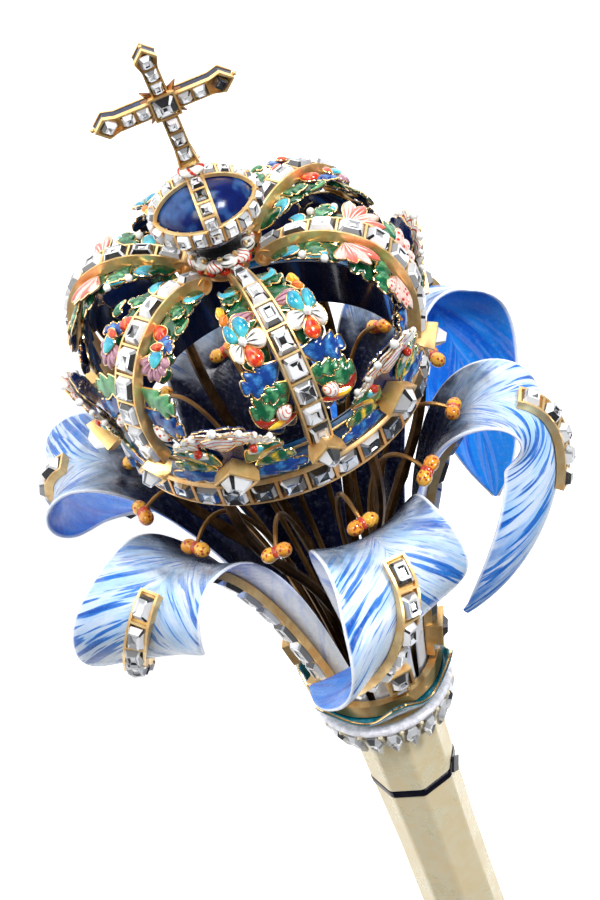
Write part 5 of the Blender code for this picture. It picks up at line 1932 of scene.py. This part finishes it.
# the cross, with a sideways, b above the crossing and n outwards from the middle of its thickness. A ray
# is (its turn from the corner's middle, its length), and the cap is (radius, above the foot)
crossForm = {
    "foot": 44.9,
    "crossing": 55.6,
    "top": 65.2,
    "span": 10.4,
    "bar": 1.2,
    "shoulder": 0.3,
    "flare": 2.2,
    "kite": 1.7,
    "leanDeg": 2.0,
    "front": 1.15,
    "back": -1.15,
    "lip": 0.24,
    "lowStones": (-3.35, -5.95, -8.55),
    "highStones": (3.05, 5.25),
    "armStones": (3.1, 5.35),
    "armEnd": 8.3,
    "topEnd": 7.5,
    "centreHalf": 1.95,
    "rays": ((-24.0, 3.2), (0.0, 3.8), (24.0, 3.2)),
    "rayHalf": 0.9,
    "cap": [(1.2, -0.05), (1.5, 0.1), (1.55, 0.4), (1.35, 0.7), (1.25, 1.1)],
    "capSides": 28,
}
slateInk = {"paint": (0.008, 0.012, 0.035), "accent": (0.025, 0.04, 0.1), "kind": "clouds", "cell": wholeCell}


def crossPoint(a, b, n):
    form = crossForm
    a, b, n = np.broadcast_arrays(np.asarray(a, float), b, n)
    rise = b + form["crossing"] - form["foot"]
    c, s = cosSin(form["leanDeg"])
    return np.stack([n, a * c - rise * s, form["foot"] + a * s + rise * c], -1)


# corner points round the cross, drawn in by inset: kite-shaped ends, and a foot that flares to its shoulder
def crossOutline(inset=0.0):
    form = crossForm
    arms = (
        (90.0, form["top"] - form["crossing"]),
        (180.0, form["span"]),
        (270.0, form["crossing"] - form["foot"]),
        (0.0, form["span"]),
    )
    outline = []
    for heading, length in arms:
        standing = heading == 270.0
        length = length - inset * (1.0 if standing else 1.5)
        bar, kite = form["bar"] - inset, form["kite"] - inset
        if standing:
            end = [(bar, bar), (length - form["flare"], bar), (length, bar + form["shoulder"])]
        else:
            end = [(bar, bar), (length - 2 * form["kite"], bar), (length - form["kite"], kite)]
        tip = [] if standing else [(length, 0.0)]
        side = [(x, -y) for x, y in end] + tip + end[::-1]
        c, s = cosSin(heading)
        outline += [(x * c - y * s, x * s + y * c) for x, y in side]
    kept = []
    for point in outline:
        if not kept or math.dist(point, kept[-1]) > 1e-6:
            kept.append(point)
    if math.dist(kept[0], kept[-1]) < 1e-6:
        kept.pop()
    return np.array(kept)


# a frame that follows the cross's outline
def crossWall(shape, low, high, inset, thick, **looks):
    outer, inner = crossOutline(inset), crossOutline(inset + thick)
    edges = ((outer, low), (outer, high), (inner, high), (inner, low))
    rings = [crossPoint(ring[:, 0], ring[:, 1], n) for ring, n in edges]
    add(shape, np.concatenate(rings), ringFaces(4, len(outer), True), **looks)


def crossPlate(shape, low, high, inset, **looks):
    outline = crossOutline(inset)
    rings = [crossPoint(outline[:, 0], outline[:, 1], n) for n in (low, high)]
    add(shape, np.concatenate(rings), loftFaces(2, len(outline)), **looks)


def crossAxes():
    return [unit(crossPoint(*tip) - crossPoint(0, 0, 0)) for tip in ((1, 0, 0), (0, 1, 0), (0, 0, 1))]


def crossStones(metal, stones, rng):
    form = crossForm
    right, up, out = crossAxes()

    def stoneAt(a, b, halves, axes=None, low=0.62, high=1.75, **cut):
        tableStone(stones, rng, crossPoint(a, b, 0.0), axes or (right, up, out), halves, low, high, **cut)

    def barAt(a, b, halves):
        box(metal, crossPoint(a, b, 0.92), (right, up, out), (*halves, 0.3), paint=(0.75, 0.6, 0.42))

    side = form["bar"] - form["lip"] - 0.02
    for b in form["lowStones"]:
        stoneAt(0.0, b, (side, 1.02), table=0.6)
        barAt(0.0, b + 1.3, (side, 0.16))
    barAt(0.0, -9.85, (side, 0.2))
    for b in form["highStones"]:
        stoneAt(0.0, b, (side, 0.92), table=0.58)
        barAt(0.0, b + 1.1, (side, 0.13))
    for sign in (-1.0, 1.0):
        for a in form["armStones"]:
            stoneAt(sign * a, 0.0, (0.98, side - 0.04), table=0.55)
            barAt(sign * (a + 1.12), 0.0, (0.12, side))
    diagonal = (unit(right + up), unit(up - right), out)
    stoneAt(form["armEnd"], 0.0, (0.98, 0.98), diagonal, high=1.6, table=0.72, shade=0.03)
    stoneAt(-form["armEnd"], 0.0, (1.0, 1.0), diagonal, high=1.8, table=0.5)
    stoneAt(0.0, form["topEnd"], (1.02, 1.02), high=1.85, table=0.55)
    half = form["centreHalf"]
    centre = crossPoint(0.0, 0.0, 0.0)
    steps = ((0.92, 0.5), (1.0, 1.5), (0.86, 1.55), (0.8, 1.0))
    rings = [ring4(centre, right, up, out, half * s, half * s, n) for s, n in steps]
    add(metal, np.concatenate(rings), loftFaces(4, 4), paint=(1.0, 0.9, 0.78))
    stoneAt(0.0, 0.0, (1.55, 1.55), low=1.1, high=2.35, table=0.5)


# a bead on each arm's tip and on the top
def crossTips(metal):
    form = crossForm
    right, _, _ = crossAxes()
    for sign in (-1.0, 1.0):
        tip = crossPoint(sign * (form["span"] + 0.1), 0.0, 0.0)
        tube(metal, [crossPoint(sign * (form["span"] - 0.5), 0.0, 0.0), tip], 0.2, 8)
        ball(metal, tip + right * sign * 0.1, (0.34, 0.34, 0.34), None, 9, 12)
    top = crossPoint(0.0, form["top"] - form["crossing"] - 0.05, 0.0)
    ball(metal, top, (0.3, 0.3, 0.3), None, 9, 12)


# three short rays in each corner of the cross, raised along their middle
def crossRays(metal):
    form = crossForm
    half = form["rayHalf"]
    faces = [[0, 2, 1], [0, 1, 4, 3], [1, 2, 5, 4], [2, 0, 3, 5], [3, 4, 6], [4, 5, 6], [5, 3, 6]]
    for turnDeg in (45.0, 135.0, 225.0, 315.0):
        foot = 0.9 * np.array(cosSin(turnDeg))
        for fan, reach in form["rays"]:
            c, s = cosSin(turnDeg + fan)
            tip, aside = reach * np.array([c, s]), half * np.array([-s, c])
            corners = [foot - aside, tip, foot + aside]
            points = [crossPoint(x, y, n) for n in (-0.4, 0.1) for x, y in corners]
            points.append(crossPoint(*blend(foot, tip, 0.45), 0.55))
            add(metal, points, faces, paint=(0.2, 0.12, 0.09))


# the cap that the cross stands in
def crossCap(metal):
    form = crossForm
    right, up, out = crossAxes()
    foot = crossPoint(0.0, form["foot"] - form["crossing"], 0.0)
    sides = form["capSides"]
    rows = []
    for r, z in form["cap"]:
        for angle in np.arange(sides) / sides * 2 * math.pi:
            rows.append(foot + right * r * math.cos(angle) + out * r * 0.86 * math.sin(angle) + up * z)
    add(metal, np.array(rows), loftFaces(len(form["cap"]), sides), paint=(0.95, 0.9, 0.6))


def makeCross():
    form = crossForm
    metal, slate, stones = newShape(), newShape(), newShape()
    crossPlate(slate, form["back"] + 0.12, 0.5, 0.1, **slateInk)
    crossWall(metal, 0.42, form["front"], 0.0, form["lip"], paint=(1.0, 0.95, 0.85))
    crossWall(metal, form["back"], form["back"] + 0.3, 0.0, form["lip"], paint=(1.0, 0.9, 0.8))
    crossPlate(metal, 0.45, 0.62, form["lip"] * 0.9, paint=(0.8, 0.62, 0.45))
    crossStones(metal, stones, random.Random(1700))
    crossTips(metal)
    crossRays(metal)
    crossCap(metal)
    buildGold("cross_setting", metal, "cross")
    build("cross_enamel", slate, deepEnamel, (), 25)
    buildStones("cross_stones", stones)


makeHub()
makeOrb()
makeCrossRing()
makeCross()
print("orb and cross made")


# floor, light and camera, placed from the view the sceptre's head is seen in
viewForm = {
    "elevationDeg": 37.9436,
    "distance": 410.0,
    "aim": (0.0, 0.0, 8.5),
    "aside": 0.0013,
    "above": -0.0381,
    "rollDeg": 20.4932,
    "lens": 109.916,
}
lightForm = {
    "world": (0.90, 0.94, 1.0),
    "worldStrength": 0.12,
    "floor": 0.92,
    "floorGlow": 0.75,
    "floorReach": 4.0,
    # each softbox: right, up and towards the viewer of the crown, in mm; side in mm; watts
    "boxes": (
        (210.0, 270.0, 480.0, 130.0, 2.9),
        (-230.0, 90.0, 560.0, 200.0, 1.4),
        (-60.0, 560.0, 420.0, 260.0, 1.6),
        (560.0, -160.0, 260.0, 160.0, 1.7),
    ),
}


def viewAxes():
    form = viewForm
    c, s = cosSin(form["elevationDeg"])
    towards = np.array([c, 0.0, s])
    right = np.array([0.0, 1.0, 0.0])
    up = np.cross(right, -towards)
    up = up * np.sign(up[2])
    forward = unit(-towards + right * form["aside"] + up * form["above"])
    right = unit(right - forward * np.dot(right, forward))
    up = np.cross(right, forward)
    up = up * np.sign(up[2])
    c, s = cosSin(form["rollDeg"])
    place = np.array(form["aim"]) + towards * form["distance"]
    return place, c * right - s * up, s * right + c * up, -forward


# puts a camera or a light at an upright-frame place, looking along -back
def stand(obj, place, right, up, back):
    turn = np.stack([restTurn @ right, restTurn @ up, restTurn @ back], -1)
    matrix = Matrix(turn.tolist()).to_4x4()
    matrix.translation = toWorld(place)
    obj.matrix_world = matrix
    bpy.context.scene.collection.objects.link(obj)


def makeCamera():
    place, right, up, back = viewAxes()
    lens = bpy.data.cameras.new("camera")
    lens.sensor_width = 36.0
    lens.lens = viewForm["lens"]
    lens.clip_start = 0.01
    camera = bpy.data.objects.new("camera", lens)
    stand(camera, place, right, up, back)
    bpy.context.scene.camera = camera


def makeSoftboxes():
    _, right, up, back = viewAxes()
    aim = np.array(viewForm["aim"])
    for k, (aside, above, near, side, watts) in enumerate(lightForm["boxes"]):
        lamp = bpy.data.lights.new(f"softbox_{k + 1}", "AREA")
        lamp.shape = "SQUARE"
        lamp.size = side * mm
        lamp.energy = watts
        at = aim + right * aside + up * above + back * near
        lampBack = unit(at - aim)
        lampRight = unit(np.cross(up, lampBack))
        softbox = bpy.data.objects.new(f"softbox_{k + 1}", lamp)
        stand(softbox, at, lampRight, np.cross(lampBack, lampRight), lampBack)


def makeSky():
    world = bpy.data.worlds.new("studio")
    world.use_nodes = True
    sky = world.node_tree.nodes["Background"]
    sky.inputs["Color"].default_value = (*lightForm["world"], 1.0)
    sky.inputs["Strength"].default_value = lightForm["worldStrength"]
    bpy.context.scene.world = world
    bpy.context.scene.view_settings.view_transform = "Standard"


def makeFloor():
    mesh = bpy.data.meshes.new("floor")
    reach = lightForm["floorReach"]
    corners = [(-reach, -reach, 0.0), (reach, -reach, 0.0), (reach, reach, 0.0), (-reach, reach, 0.0)]
    mesh.from_pydata(corners, [], [(0, 1, 2, 3)])
    floor = bpy.data.objects.new("floor", mesh)
    bpy.context.scene.collection.objects.link(floor)
    glow = {"Emission Color": (1.0, 1.0, 1.0, 1.0), "Emission Strength": lightForm["floorGlow"]}
    paper, tree, shader = newMaterial("floor_paper", {"Roughness": 0.9, **glow})
    grain = node(tree, "TexNoise", {"Scale": 300.0, "Detail": 3.0}).outputs[0]
    pale, dull = ((lightForm["floor"] * share,) * 3 for share in (1.0, 0.99))
    tree.links.new(mixColour(tree, grain, pale, dull), shader.inputs["Base Color"])
    mesh.materials.append(paper)


makeCamera()
makeSoftboxes()
makeSky()
makeFloor()
print("studio made")
